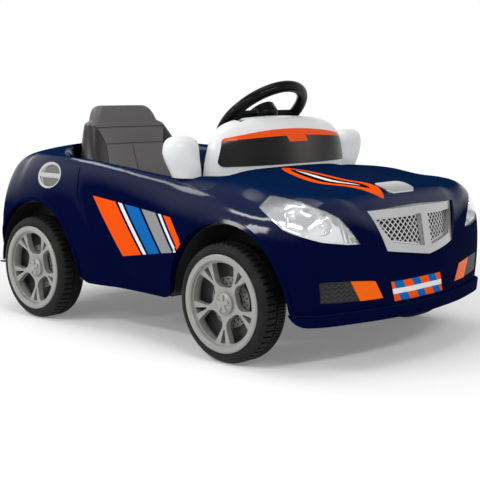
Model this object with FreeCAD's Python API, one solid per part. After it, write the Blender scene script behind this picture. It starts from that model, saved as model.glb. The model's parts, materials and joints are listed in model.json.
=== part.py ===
import FreeCAD, Part
import math
import os

V = FreeCAD.Vector

# Layout of the car: X forward, Y to the left, Z up, the ground at zero
wheelbase = 600.0
front_overhang = 253.0
rear_overhang = 187.0
wheel_proud = 3.0
cabin_share = 0.555
tyre_radius = 115.0
tyre_width = 68.0
overrun = 60.0
seat_gap = 0.3
run_gap = 0.05

# Body moulding
body_width = 630.0
belt_height = 371.0
skirt_height = 60.0
wall = 4.0
lip_proud = 8.0
lip_top = 114.0
lip_height = 92.0
sill_height = 100.0
tail_height = 122.0
arch_radius = 152.0
arch_bead_width = 7.0
patch_rows = 4
patch_columns = 6
arch_bead_proud = 2.5
arch_flange_depth = 26.0
sill_corner_radius = 34.0
shoulder_drop = 24.0
cockpit_edge = 74.0
firewall_height = 318.0
firewall_ahead = 165.0
post_radius = 9.0
groove_width = 3.0
groove_depth = 1.6
# The panel line along the rear wing, from the belt down: way back on the wheelbase and height over the sill
door_line_shares = ((0.322, 1.107), (0.320, 0.908), (0.307, 0.697), (0.253, 0.539), (0.212, 0.424))
# The rear of the cockpit opening: way back on the seat's lean and half width
opening_shares = ((1.17, 0.60), (0.65, 0.74), (0.35, 0.78), (-0.25, 0.95), (-0.52, 1.0))

# Heights of the skirt, low, middle and upper lines of the side as shares of the belt height
side_height_shares = (0.256, 0.404, 0.580, 0.763)
skirt_tuck_share = 0.985
# Each station: place on the wheelbase, belt height, half widths of skirt, low, middle, upper, shoulder and
# crest, and how far it follows the slanted edge of the rear wing
side_shares = (
    (-0.145, 0.987, 0.921, 0.965, 0.978, 0.940, 0.851, 0.756, 0.0),
    (-0.125, 0.992, 0.927, 0.968, 0.981, 0.946, 0.863, 0.775, 0.0),
    (-0.106, 0.996, 0.930, 0.971, 0.984, 0.949, 0.874, 0.800, 0.0),
    (-0.086, 0.998, 0.932, 0.973, 0.986, 0.951, 0.880, 0.815, 0.0),
    (0.000, 1.000, 0.943, 0.984, 0.994, 0.962, 0.902, 0.851, 0.0),
    (0.120, 0.998, 0.943, 0.981, 0.991, 0.966, 0.911, 0.857, 0.35),
    (0.215, 0.990, 0.940, 0.977, 0.988, 0.963, 0.910, 0.858, 1.0),
    (0.250, 0.986, 0.910, 0.936, 0.947, 0.941, 0.908, 0.860, 1.0),
    (0.340, 0.977, 0.906, 0.930, 0.942, 0.938, 0.907, 0.860, 0.75),
    (0.505, 0.954, 0.906, 0.931, 0.944, 0.939, 0.906, 0.860, 0.25),
    (0.655, 0.927, 0.916, 0.943, 0.956, 0.946, 0.905, 0.857, 0.0),
    (0.730, 0.925, 0.930, 0.962, 0.975, 0.956, 0.902, 0.848, 0.0),
    (0.758, 0.930, 0.937, 0.968, 0.981, 0.959, 0.898, 0.832, 0.0),
    (0.872, 0.943, 0.946, 0.981, 0.994, 0.965, 0.892, 0.787, 0.0),
    (1.000, 0.941, 0.949, 0.987, 1.000, 0.965, 0.879, 0.749, 0.0),
    (1.105, 0.911, 0.940, 0.981, 0.994, 0.952, 0.857, 0.717, 0.0),
)
# The slanted edge of the rear wing: how far forward it runs by the sill, and its share at each height
wing_slant = 105.0
wing_slant_shares = (1.0, 1.0, 0.93, 0.62, 0.10, 0.0, 0.0)
# The top of each station from the crest to the middle: half width and height; the cockpit stations dip
top_shares = (
    ((0.603, 1.013), (0.397, 1.035), (0.190, 1.046), (0.000, 1.049)),
    ((0.590, 1.019), (0.397, 1.040), (0.190, 1.051), (0.000, 1.054)),
    ((0.640, 1.022), (0.450, 1.040), (0.250, 1.050), (0.000, 1.052)),
    ((0.690, 1.018), (0.560, 1.032), (0.400, 1.020), (0.000, 0.980)),
    ((0.735, 1.012), (0.620, 1.016), (0.575, 0.780), (0.000, 0.695)),
    ((0.800, 0.994), (0.775, 0.884), (0.762, 0.706), (0.000, 0.695)),
    ((0.800, 0.985), (0.778, 0.875), (0.762, 0.700), (0.000, 0.690)),
    ((0.800, 0.981), (0.778, 0.871), (0.762, 0.696), (0.000, 0.685)),
    ((0.800, 0.970), (0.778, 0.860), (0.762, 0.687), (0.000, 0.676)),
    ((0.800, 0.946), (0.778, 0.836), (0.762, 0.663), (0.000, 0.652)),
    ((0.800, 0.919), (0.778, 0.809), (0.762, 0.636), (0.000, 0.625)),
    ((0.794, 0.916), (0.771, 0.809), (0.756, 0.636), (0.000, 0.625)),
    ((0.655, 0.922), (0.560, 0.926), (0.465, 0.960), (0.000, 0.969)),
    ((0.640, 0.919), (0.552, 0.922), (0.458, 0.955), (0.000, 0.964)),
    ((0.610, 0.905), (0.530, 0.907), (0.440, 0.928), (0.000, 0.933)),
    ((0.582, 0.880), (0.505, 0.883), (0.420, 0.899), (0.000, 0.902)),
)
# How the nose and tail close: size of the section and way along, at the sides and at the top
nose_side_shares = ((0.995, 0.22), (0.985, 0.42), (0.955, 0.62), (0.88, 0.72), (0.76, 0.785),
                    (0.58, 0.865), (0.32, 0.965), (0.0, 1.0))
nose_top_shares = ((0.999, 0.25), (0.992, 0.45), (0.965, 0.62), (0.91, 0.76), (0.80, 0.87),
                   (0.62, 0.945), (0.35, 0.99), (0.0, 1.0))
nose_blend_shares = (0.0, 0.0, 0.0, 0.0, 0.15, 0.35, 0.6, 0.9, 1.0, 1.0, 1.0)
tail_side_shares = ((0.995, 0.2), (0.98, 0.45), (0.94, 0.68), (0.85, 0.83), (0.7, 0.92), (0.45, 0.98),
                    (0.0, 1.0))

# Headlamps, seen along the corner of the nose
lamp_yaw = 45.5
lamp_reach = 396.0
lamp_place = 40.0
lamp_width = 184.0
lamp_low = 235.5
lamp_height = 85.0
lamp_lens = 2.5
lamp_proud = 1.0
lamp_gap = 0.4
lamp_depth = 26.0
lamp_rim = 4.0
lamp_floor = 15.0
lamp_cup_height = 8.0
lamp_cup_lip = 2.0
lamp_bulb = 5.0
# The bowls of the headlamp: place across, height and radius on the lamp's height
lamp_cup_shares = ((0.33, 0.61, 0.24), (0.61, 0.43, 0.21))
lamp_outline_shares = ((0.0, 0.77), (0.11, 1.0), (0.17, 1.0), (0.40, 0.935), (0.65, 0.74), (0.78, 0.59),
                       (0.91, 0.275), (1.0, 0.0), (0.86, 0.015), (0.61, 0.10), (0.30, 0.29), (0.22, 0.356),
                       (0.107, 0.56))

# Where the cuts for the grille, fog lamps and tail lamps begin
nose_cut = 74.0
tail_cut = 80.0

# Fog lamp inserts and their marker lamps, seen from the front
fog_width = 143.0
fog_set_in = 51.0
fog_low = 131.0
fog_height = 42.0
fog_skin = 3.0
fog_step = 2.0
fog_outline_shares = ((0.03, 0.08), (0.0, 0.98), (0.10, 1.0), (0.50, 0.93), (0.80, 0.84), (0.86, 0.80),
                      (1.0, 0.0), (0.62, 0.0), (0.30, 0.02))
marker_inner_shares = ((0.62, 0.0), (0.46, 0.93), (0.80, 0.84), (0.86, 0.80), (1.0, 0.0))

# Grille
grille_top = 296.0
grille_bottom = 203.0
grille_corner_drop = 4.0
grille_corner_rise = 14.0
grille_top_half = 142.0
grille_bottom_half = 109.0
grille_set_back = 1.0
grille_lean = 10.7
grille_bow_radius = 335.0
grille_depth = 34.0
grille_bar = 15.0
grille_rib = 22.0
grille_strand = 2.8
grille_pitch = 12.5
grille_mesh_depth = 2.5
grille_mesh_set = 7.0
grille_back = 2.0

# Bonnet badge plate
badge_set_back = 86.0
badge_length = 44.0
badge_width = 88.0
badge_proud = 2.6
badge_corner = 15.0

# Filler caps
cap_ahead = 43.0
cap_set_in = 26.0
cap_z = 325.0
cap_half_long = 41.0
cap_half_high = 30.0
cap_dish = 2.0
cap_bar = 9.0
cap_tilt = 16.5
cap_proud = 3.0
cap_rim = 7.0
cap_sink = 7.0

# Tail lamps, seen from behind
tail_lamp_width = 102.0
tail_lamp_set_in = 83.0
tail_lamp_low = 262.0
tail_lamp_height = 40.0
tail_lamp_skin = 2.5
tail_lamp_slant = 14.0

# Dash cowl with the windscreen frame
cowl_ahead = 125.0
cowl_front = 63.0
cowl_rear = 75.0
cowl_low = 300.0
cowl_set_in = 93.0
cowl_height = 160.0
cowl_wall = 3.5
cowl_section_shares = ((1.0, 0.0), (0.986, 0.28), (0.95, 0.53), (0.887, 0.76), (0.766, 0.912),
                       (0.518, 0.975), (0.248, 0.994), (0.0, 1.0))
cowl_ring_shares = (0.985, 0.95, 0.88, 0.76, 0.58, 0.32, 0.0)
cowl_front_power_shares = (2.0, 2.0, 2.05, 2.15, 2.3, 2.45, 2.55, 2.6)
cowl_rear_power_share = 1.5
screen_skin = 1.5
screen_set = 0.1
screen_low = 360.0
screen_low_set_in = 19.0
screen_high = 416.0
screen_high_set_in = 36.0
screen_rise = 17.0
screen_corner = 10.0

# Door mirrors
mirror_ahead = 108.0
mirror_set_in = 51.0
mirror_z = 392.0
mirror_half_x = 29.0
mirror_half_y = 41.0
mirror_drop = 52.0
mirror_rise = 31.0
# Rings of the mirror pod: height, half length and half width; the foot draws in towards the car
mirror_shares = ((-1.0, 1.15, 0.62), (-0.75, 1.17, 0.72), (-0.5, 1.15, 0.84), (-0.2, 1.07, 0.96),
                 (0.2, 1.0, 1.0), (0.62, 0.88, 0.91), (0.88, 0.64, 0.68), (1.0, 0.32, 0.36))
mirror_flat = 17.0
mirror_glass = 2.5
mirror_glass_share = 0.78
oval_points = 12

# Seat
seat_rise = 150.0
seat_top = 476.0
seat_half_width = 172.0
seat_thick = 44.0
seat_bolster = 30.0
seat_behind = 284.0
seat_lean = 96.0
# Rings of the seat back: height, lean, half width, bolster and thickness
seat_back_shares = ((0.0, 0.0, 0.93, 0.9, 1.0), (0.20, 0.14, 0.98, 1.0, 1.0), (0.34, 0.27, 1.0, 1.0, 0.98),
                    (0.55, 0.50, 0.95, 0.95, 0.95), (0.74, 0.72, 0.83, 0.75, 0.92),
                    (0.845, 0.845, 0.725, 0.5, 0.9), (0.873, 0.87, 0.70, 0.35, 0.9),
                    (0.885, 0.88, 0.60, 0.2, 0.9), (0.905, 0.89, 0.59, 0.25, 1.0),
                    (0.962, 0.94, 0.53, 0.25, 1.0), (0.992, 0.975, 0.475, 0.1, 0.85),
                    (1.0, 1.0, 0.40, 0.0, 0.6))
seat_section_shares = ((0.0, 0.0, 0.0), (0.45, 0.25, 0.0), (0.78, 1.0, 0.0), (0.95, 0.80, 0.0),
                       (1.0, 0.0, 0.40), (0.86, 0.0, 0.88), (0.42, 0.0, 1.0), (0.0, 0.0, 1.0))
seam_width = 3.2
seam_depth = 2.4
# Seams of the seat back: ends by half width and height
seam_shares = (((0.0, 0.72), (0.0, 0.20)), ((-0.535, 0.72), (0.535, 0.72)), ((-0.62, 0.84), (0.62, 0.84)),
               ((0.535, 0.72), (0.62, 0.84)), ((-0.535, 0.72), (-0.62, 0.84)),
               ((0.535, 0.72), (0.60, 0.46)), ((-0.535, 0.72), (-0.60, 0.46)),
               ((0.60, 0.46), (0.58, 0.26)), ((-0.60, 0.46), (-0.58, 0.26)))
base_front_behind = 64.0
base_length = 258.0
base_height = 60.0
base_half_width = 164.0
base_bolster = 22.0
# Rings of the seat base: place, height and half width; its section: half width, height and bolster
base_shares = ((0.0, 0.62, 0.90), (0.05, 0.86, 0.95), (0.16, 1.0, 0.98), (0.45, 0.95, 1.0), (0.8, 0.86, 1.0),
               (1.0, 0.84, 0.98))
base_section_shares = ((0.0, 1.0, 0.0), (0.5, 1.0, 0.25), (0.8, 1.0, 1.0), (0.94, 1.0, 0.8), (1.0, 0.6, 0.0),
                       (0.97, 0.2, 0.0), (0.8, 0.0, 0.0), (0.4, 0.0, 0.0), (0.0, 0.0, 0.0))
riser_front_behind = 82.0
riser_length = 238.0
riser_half_width = 126.0
riser_wall = 4.0

# Floor pan
pan_low = 104.0
pan_thick = 4.0
pan_rear_gap = 40.0
rear_well_gap = 18.0
rear_well_reach = 150.0
front_well_gap = 64.0
front_well_reach = 160.0
rib_height = 9.0
rib_width = 4.0
rib_half_share = 0.62

# Steering
wheel_ahead = 83.0
wheel_z = 457.0
wheel_tilt = 40.0
wheel_radius = 99.0
wheel_tube = 12.0
wheel_hub_radius = 36.0
wheel_hub_low = -14.0
wheel_hub_high = 11.0
spoke_width = 34.0
wheel_spoke_turns = (0, 90, 270)
spoke_thick = 9.0
neck_radius = 11.0
neck_length = 24.0
column_radius = 6.0
column_hole_gap = 3.2
bush_radius = 12.5
bush_length = 20.0
bush_place = 42.0
arm_length = 48.0
crank_length = 22.3
crank_thick = 8.0
crank_half = 9.0
crank_pin_radius = 4.0
crank_pin_above = 42.0
crank_pin_below = 17.0
fork_gap = 0.8
fork_plate = 5.0
fork_half_height = 11.0
fork_rear = 20.5
fork_front = 16.0
fork_end = 4.5
horn_radius = 20.0
horn_height = 8.0
horn_travel = 3.0
horn_gap = 0.3
bracket_place = 300.0
bracket_half = 10.0
bracket_eye = 13.0

# Front axle
kingpin_set_in = 56.0
kingpin_radius = 6.0
kingpin_low = 90.0
kingpin_head = 3.5
knuckle_radius = 13.0
knuckle_low = 97.0
beam_low = 134.0
beam_high = 150.0
beam_half_x = 14.0
beam_foot_gap = 18.0
arm_width = 14.0
arm_low = 122.0
arm_boss = 8.0
tie_pin_radius = 4.0
tie_radius = 5.0
tie_height = 146.0
tie_web_low = 137.0
tie_web_high = 145.0
tie_eye = 9.0
tie_eye_half = 6.0
stub_radius = 6.0
stub_collar = 11.0

# Wheels
rim_seat_radius = 86.0
rim_flange_radius = 94.0
rim_flange_width = 7.0
rim_round = 2.4
rim_bowl_radius = 81.0
rim_floor = 6.0
rim_floor_low = -8.0
hub_radius = 24.0
hub_high = 14.0
spoke_face = 25.0
spoke_back = 12.0
spoke_dish = 7.0
spoke_count = 5
window_inner_share = 0.459
window_outer_share = 0.965
window_narrow = 36.25
window_wide = 21.5
window_corner = 5.0
window_round = 18.5
slot_inner_share = 0.62
slot_outer_share = 0.95
slot_narrow = 1.6
slot_wide = 5.0
slot_corner = 1.2
cap_boss_radius = 21.0
cap_boss_height = 9.0
cap_boss_bore = 11.0
cap_face_share = 0.8
cap_edge_share = 0.85
cap_ray = 7.0
cap_ray_proud = 1.5
disc_outer = 49.0
disc_inner = 31.0
disc_thick = 5.0
disc_hole = 2.2
disc_hole_depth = 3.0
disc_hole_count = 22
disc_row_shares = (0.30, 0.74)
tyre_round = 15.0
tyre_wall_shares = ((0.0, 0.12), (0.25, 0.0), (0.50, 0.04), (0.70, 0.18), (0.86, 0.42), (0.96, 0.72),
                    (1.0, 1.0))
tyre_side = 3.0
tread_depth = 3.0
tread_groove = 4.0
tread_notch = 4.0
tread_count = 56
rib_notch = 2.6
rib_depth = 2.2
rib_count = 120
nut_radius = 9.5
nut_height = 5.0
nut_gap = 0.3
axle_radius = 6.0
axle_block_y = 150.0
axle_block_half = 9.0
axle_block_reach = 17.0
axle_block_high = 131.0

# Drive
gearbox_gap = 14.0
gearbox_width = 40.0
gearbox_high = 162.0
gearbox_front = 104.0
gearbox_rear = 38.0
gearbox_corner = 22.0
dog_radius = 22.0
motor_radius = 19.0
motor_length = 58.0
motor_forward = 72.0
motor_high = 129.0
motor_cap_radius = 9.0
motor_cap_length = 5.0
battery_behind = 215.0
battery_length = 70.0
battery_width = 104.0
battery_height = 36.0
strap_width = 18.0
strap_thick = 2.0
strap_foot = 14.0

# Pedal, switch and charging socket
pedal_ahead = 168.0
pedal_y = -95.0
pedal_z = 124.0
pedal_length = 84.0
pedal_width = 62.0
pedal_thick = 5.0
pedal_angle = 27.0
pedal_barrel = 7.0
pedal_pin_radius = 3.0
pedal_lug = 5.0
pedal_lug_gap = 0.4
pedal_box_height = 20.0
pedal_box_reach = 42.0
pedal_box_width = 26.0
switch_y = -118.0
switch_z = 400.0
switch_tilt = 38.0
switch_length = 40.0
switch_width = 26.0
switch_depth = 16.0
switch_wall = 4.0
switch_proud = 3.0
rocker_gap = 0.6
rocker_radius = 13.0
rocker_pin_radius = 1.5
socket_y = 96.0
socket_z = 131.0
socket_radius = 8.0
socket_bore = 2.75
socket_depth = 11.0
socket_length = 16.0
socket_flange = 11.0
socket_flange_thick = 2.5

# Screws that hold the body to the pan
screw_radius = 2.5
screw_head = 5.0
screw_head_height = 2.5
screw_head_gap = 0.4
screw_length = 18.0
screw_front_back = 88.0
screw_rear_ahead = 52.0
screw_front_y = 110.0
screw_rear_y = 90.0

# Wiring loom on the pan
loom_radius = 3.5
loom_bend = 26.0
loom_y = -30.0
loom_motor_ahead = 87.0
loom_motor_z = 122.0
loom_hole_gap = 1.0

length = front_overhang + wheelbase + rear_overhang
front_end = length / 2
rear_x = rear_overhang - length / 2
front_x = rear_x + wheelbase
cabin_x = rear_x + cabin_share * wheelbase
half_width = body_width / 2
axle_z = tyre_radius
wheel_y = half_width + wheel_proud - tyre_width / 2
rim_face_y = wheel_y + tyre_width / 2
rim_back_y = wheel_y - tyre_width / 2
pan_high = pan_low + pan_thick
loom_height = pan_high + loom_radius + seat_gap
far = length
cockpit_half_width = half_width - cockpit_edge
firewall_x = cabin_x + firewall_ahead
nose_cut_x = front_end - nose_cut
tail_cut_x = tail_cut - front_end
fog_outer = half_width - fog_set_in
grille_front = front_end - grille_set_back
badge_x = front_end - badge_set_back
cap_x = rear_x + cap_ahead
cap_y = half_width - cap_set_in
tail_lamp_outer = half_width - tail_lamp_set_in
tail_lamp_inner = tail_lamp_outer - tail_lamp_width
cowl_x = cabin_x + cowl_ahead
cowl_half_width = half_width - cowl_set_in
screen_low_half = cowl_half_width - screen_low_set_in
screen_high_half = cowl_half_width - screen_high_set_in
mirror_x = cabin_x + mirror_ahead
mirror_y = half_width - mirror_set_in
seat_front_x = cabin_x - seat_behind
base_front_x = cabin_x - base_front_behind
base_rear_x = base_front_x - base_length
riser_front_x = cabin_x - riser_front_behind
riser_rear_x = riser_front_x - riser_length
pan_rear_x = pan_rear_gap - front_end
rear_well_half = rim_back_y - rear_well_gap
front_well_half = rim_back_y - front_well_gap
wheel_x = cabin_x + wheel_ahead
kingpin_y = wheel_y - kingpin_set_in
beam_foot_half = front_well_half - beam_foot_gap
gearbox_outer = rim_back_y - gearbox_gap
battery_x = cabin_x - battery_behind
pedal_x = cabin_x + pedal_ahead
screw_front_x = front_end - screw_front_back
screw_rear_x = screw_rear_ahead - front_end
loom_motor_x = rear_x + loom_motor_ahead


def box(x0, x1, y0, y1, z0, z1):
    return Part.makeBox(x1 - x0, y1 - y0, z1 - z0, V(x0, y0, z0))


def rod(radius, start, end):
    way = end - start
    return Part.makeCylinder(radius, way.Length, start, way)


def plate(points, way):
    return Part.Face(Part.makePolygon(list(points) + [points[0]])).extrude(way)


def turned(profile, centre, out):
    """A solid turned about an axle along Y: points of radius and way out along the axle."""
    points = [V(centre.x + radius, centre.y + out * along, centre.z) for radius, along in profile]
    face = Part.Face(Part.makePolygon(points + [points[0]]))
    return face.revolve(centre, V(0, 1, 0), 360)


def other(shape):
    return shape.mirror(V(0, 0, 0), V(0, 1, 0))


def joined(shapes):
    whole = shapes[0]
    for shape in shapes[1:]:
        whole = whole.fuse(shape)
    return whole.removeSplitter()


def less(shape, *tools):
    for tool in tools:
        shape = shape.cut(tool)
    return shape


def knot_row(count):
    spans = count - 2
    return [4] + [1] * (spans - 2) + [4], [float(i) for i in range(spans)]


def hoop(points):
    right = [V(x, -y, z) for x, y, z in points]
    left = [V(x, y, z) for x, y, z in reversed(points[:-1])]
    return right + left


def cage_normals(rows):
    last, end = len(rows) - 1, len(rows[0]) - 1
    normals = []
    for i, row in enumerate(rows):
        line = []
        for j in range(end + 1):
            along = rows[min(i + 1, last)][j] - rows[max(i - 1, 0)][j]
            across = row[min(j + 1, end)] - row[max(j - 1, 0)]
            normal = along.cross(across)
            if i in (0, last):
                normal = V(1 if i else -1, 0, 0)
            elif j in (0, end):
                normal.z = 0
            line.append(normal.normalize())
        normals.append(line)
    return normals


def cage_solid(rows, normals, grow, drop):
    """The smooth solid inside a cage of hoops, grown along its normals, with a flat underside."""
    last, end = len(rows) - 1, len(rows[0]) - 1
    poles = []
    for i, row in enumerate(rows):
        poles.append([point + normals[i][j] * grow - V(0, 0, drop if i in (0, last) or j in (0, end) else 0)
                      for j, point in enumerate(row)])
    u_mults, u_knots = knot_row(last + 1)
    v_mults, v_knots = knot_row(end + 1)
    surface = Part.BSplineSurface()
    surface.buildFromPolesMultsKnots(poles, u_mults, v_mults, u_knots, v_knots, False, False, 3, 3)
    faces = []
    u_end, v_end = len(u_knots) - 1, len(v_knots) - 1
    for u in range(0, u_end, patch_rows):
        for v in range(0, v_end, patch_columns):
            piece = surface.copy()
            piece.segment(u_knots[u], u_knots[min(u + patch_rows, u_end)],
                          v_knots[v], v_knots[min(v + patch_columns, v_end)])
            faces.append(piece.toShape())
    shell = Part.makeShell(faces)
    shell.sewShape()
    rim = [edge for edge in shell.Edges
           if not edge.Degenerated and len(shell.ancestorsOfType(edge, Part.Face)) == 1]
    floor = Part.Face(Part.Wire(Part.__sortEdges__(rim)))
    for under in (floor.reversed(), floor):
        closed = Part.makeShell(shell.Faces + [under])
        closed.sewShape()
        solid = Part.makeSolid(closed)
        if solid.isValid():
            break
    return solid


def body_cage():
    stations = []
    for side, top in zip(side_shares, top_shares):
        x = rear_x + side[0] * wheelbase
        belt = side[1] * belt_height
        widths = [share * half_width for share in side[2:-1]]
        slants = [share * side[-1] * wing_slant for share in wing_slant_shares]
        heights = [share * belt_height for share in side_height_shares] + [belt - shoulder_drop, belt]
        points = [(x + slants[0], widths[0] * skirt_tuck_share, skirt_height)]
        points += [(x + slant, y, z) for slant, y, z in zip(slants[1:], widths, heights)]
        points += [(x, y * half_width, z * belt_height) for y, z in top]
        stations.append(points)
    rows = []
    tail_length = stations[0][0][0] + front_end
    for size, way in reversed(tail_side_shares):
        rows.append(hoop([(x - tail_length * way, y * size, skirt_height + (z - skirt_height) * size)
                          for x, y, z in stations[0]]))
    rows += [hoop(points) for points in stations]
    nose_length = front_end - lip_proud - stations[-1][0][0]
    for side, top in zip(nose_side_shares, nose_top_shares):
        points = []
        for (x, y, z), blend in zip(stations[-1], nose_blend_shares):
            size = side[0] + (top[0] - side[0]) * blend
            way = side[1] + (top[1] - side[1]) * blend
            points.append((x + nose_length * way, y * size, skirt_height + (z - skirt_height) * size))
        rows.append(hoop(points))
    return rows


def cowl_cage():
    section = [(y * cowl_half_width, z * cowl_height) for y, z in cowl_section_shares]
    rows = []
    for size in reversed(cowl_ring_shares):
        way = (1 - size ** cowl_rear_power_share) ** (1 / cowl_rear_power_share)
        rows.append(hoop([(cowl_x - cowl_rear * way, y * size, cowl_low + z * size) for y, z in section]))
    rows.append(hoop([(cowl_x, y, cowl_low + z) for y, z in section]))
    for size in cowl_ring_shares:
        rows.append(hoop([(cowl_x + cowl_front * (1 - size ** power) ** (1 / power), y * size,
                           cowl_low + z * size)
                          for (y, z), power in zip(section, cowl_front_power_shares)]))
    return rows


body_rows = body_cage()
body_normals = cage_normals(body_rows)
cowl_rows = cowl_cage()
cowl_normals = cage_normals(cowl_rows)


def skin(grow, drop=0):
    return cage_solid(body_rows, body_normals, grow, drop)


def cowl_skin(grow, drop=0):
    return cage_solid(cowl_rows, cowl_normals, grow, drop)


def under_cut():
    """Everything below the sills and inside the wheel arches."""
    low = -overrun
    tool = joined([box(front_x, far, -far, far, low, lip_height),
                   box(rear_x, front_x, -far, far, low, sill_height),
                   box(-far, rear_x, -far, far, low, tail_height)])
    for x in (front_x, rear_x):
        tool = tool.fuse(rod(arch_radius, V(x, -far, axle_z), V(x, far, axle_z)))
    tool = tool.removeSplitter()
    corners = []
    for edge in tool.Edges:
        middle = edge.CenterOfMass
        reach = min(abs(math.hypot(middle.x - x, middle.z - axle_z) - arch_radius) for x in (front_x, rear_x))
        if reach < run_gap and edge.BoundBox.YLength > far and edge.BoundBox.ZLength < run_gap:
            if middle.z < axle_z + sill_corner_radius:
                corners.append(edge)
    return tool.makeFillet(sill_corner_radius, corners)


outer = skin(0)
proud = skin(seat_gap)
inner = skin(-wall, wall)
below = under_cut()
column_way = V(math.cos(math.radians(90 - wheel_tilt)), 0, -math.sin(math.radians(90 - wheel_tilt)))
wheel_centre = V(wheel_x, 0, wheel_z)


def on_column(place):
    return wheel_centre + column_way * place


def lamp_frame(side):
    """Directions across the headlamp and out of it, on the left (1) or the right (-1)."""
    turn = math.radians(lamp_yaw)
    return V(math.sin(turn), -side * math.cos(turn), 0), V(math.cos(turn), side * math.sin(turn), 0)


def lamp_prism(side, gap):
    across, out = lamp_frame(side)
    middle = (sum(u for u, z in lamp_outline_shares) / len(lamp_outline_shares),
              sum(z for u, z in lamp_outline_shares) / len(lamp_outline_shares))
    points = []
    for u, z in lamp_outline_shares:
        place = V((u - middle[0]) * lamp_width, (z - middle[1]) * lamp_height, 0)
        place = place * (1 - gap / place.Length)
        points.append(across * (lamp_place + middle[0] * lamp_width + place.x) + out * lamp_reach
                      + V(0, 0, lamp_low + middle[1] * lamp_height + place.y))
    return plate(points, out * wheelbase)


def front_prism(shares, side, gap):
    middle = (sum(u for u, z in shares) / len(shares), sum(z for u, z in shares) / len(shares))
    points = []
    for u, z in shares:
        place = V((u - middle[0]) * fog_width, (z - middle[1]) * fog_height, 0)
        place = place * (1 - gap / place.Length)
        points.append(V(nose_cut_x, side * (fog_outer - middle[0] * fog_width - place.x),
                        fog_low + middle[1] * fog_height + place.y))
    return plate(points, V(far, 0, 0))


def grille_prism(inset):
    top_half = grille_top_half - inset
    bottom_half = grille_bottom_half - inset
    points = [V(nose_cut_x, top_half, grille_top - grille_corner_drop - inset),
              V(nose_cut_x, 0, grille_top - inset),
              V(nose_cut_x, -top_half, grille_top - grille_corner_drop - inset),
              V(nose_cut_x, -bottom_half, grille_bottom + grille_corner_rise + inset),
              V(nose_cut_x, 0, grille_bottom + inset),
              V(nose_cut_x, bottom_half, grille_bottom + grille_corner_rise + inset)]
    return plate(points, V(far, 0, 0))


def grille_slab(back, front):
    """The bowed, leaning layer between two depths behind the grille's face."""
    lean = math.radians(grille_lean)
    up = V(-math.sin(lean), 0, math.cos(lean))
    base = V(grille_front - grille_bow_radius / math.cos(lean), 0, grille_bottom)
    start = base - up * grille_bow_radius
    slabs = []
    for depth in (front, back):
        slabs.append(Part.makeCylinder(grille_bow_radius - depth, 2 * grille_bow_radius, start, up))
    return slabs[0].cut(slabs[1])


def tail_prism(side, gap):
    inside = tail_lamp_inner + gap
    outside = tail_lamp_outer - gap
    low = tail_lamp_low + gap
    high = tail_lamp_low + tail_lamp_height - gap
    points = [V(tail_cut_x, side * inside, low), V(tail_cut_x, side * outside, low + tail_lamp_slant),
              V(tail_cut_x, side * outside, high), V(tail_cut_x, side * (inside + tail_lamp_slant), high)]
    return plate(points, V(-far, 0, 0))


def cap_frame(side):
    tilt = math.radians(cap_tilt)
    return V(cap_x, side * cap_y, cap_z), V(0, side * math.cos(tilt), math.sin(tilt))


def cap_oval(side, inset, low, high):
    """An oval block about the axis of a filler cap."""
    place, out = cap_frame(side)
    centre = place + out * low
    up = out.cross(V(1, 0, 0))
    curve = Part.Ellipse(centre + V(cap_half_long - inset, 0, 0), centre + up * (cap_half_high - inset),
                         centre)
    return Part.Face(Part.Wire([curve.toShape()])).extrude(out * (high - low))


def panel_line():
    """The shut line along the slanted edge of each rear wing."""
    line = [(cabin_x - back * wheelbase, sill_height + rise * (belt_height - sill_height))
            for back, rise in door_line_shares]
    half = groove_width / 2
    ring = [(x - half, z) for x, z in line] + [(x + half, z) for x, z in reversed(line)]
    band = plate([V(x, -far, z) for x, z in ring], V(0, 2 * far, 0))
    return band.common(box(-far, far, -far, far, 0, belt_height - shoulder_drop)).cut(skin(-groove_depth))


def cockpit_opening():
    """The hole in the top of the body over the seat and the footwell."""
    edge = [(seat_front_x - back * seat_lean, half * cockpit_half_width) for back, half in opening_shares]
    edge.append((cowl_x - wall, cockpit_half_width))
    ring = edge + [(x, -y) for x, y in reversed(edge)]
    return plate([V(x, y, skirt_height - overrun) for x, y in ring], V(0, 0, far))


nodes = {}


def screw_places():
    return [(x, side * y) for x, y in ((screw_front_x, screw_front_y), (screw_rear_x, screw_rear_y))
            for side in (-1, 1)]


def largest(shape):
    return max(shape.Solids, key=lambda solid: solid.Volume)


def pair(shape):
    return Part.makeCompound([shape, other(shape)])


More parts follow.
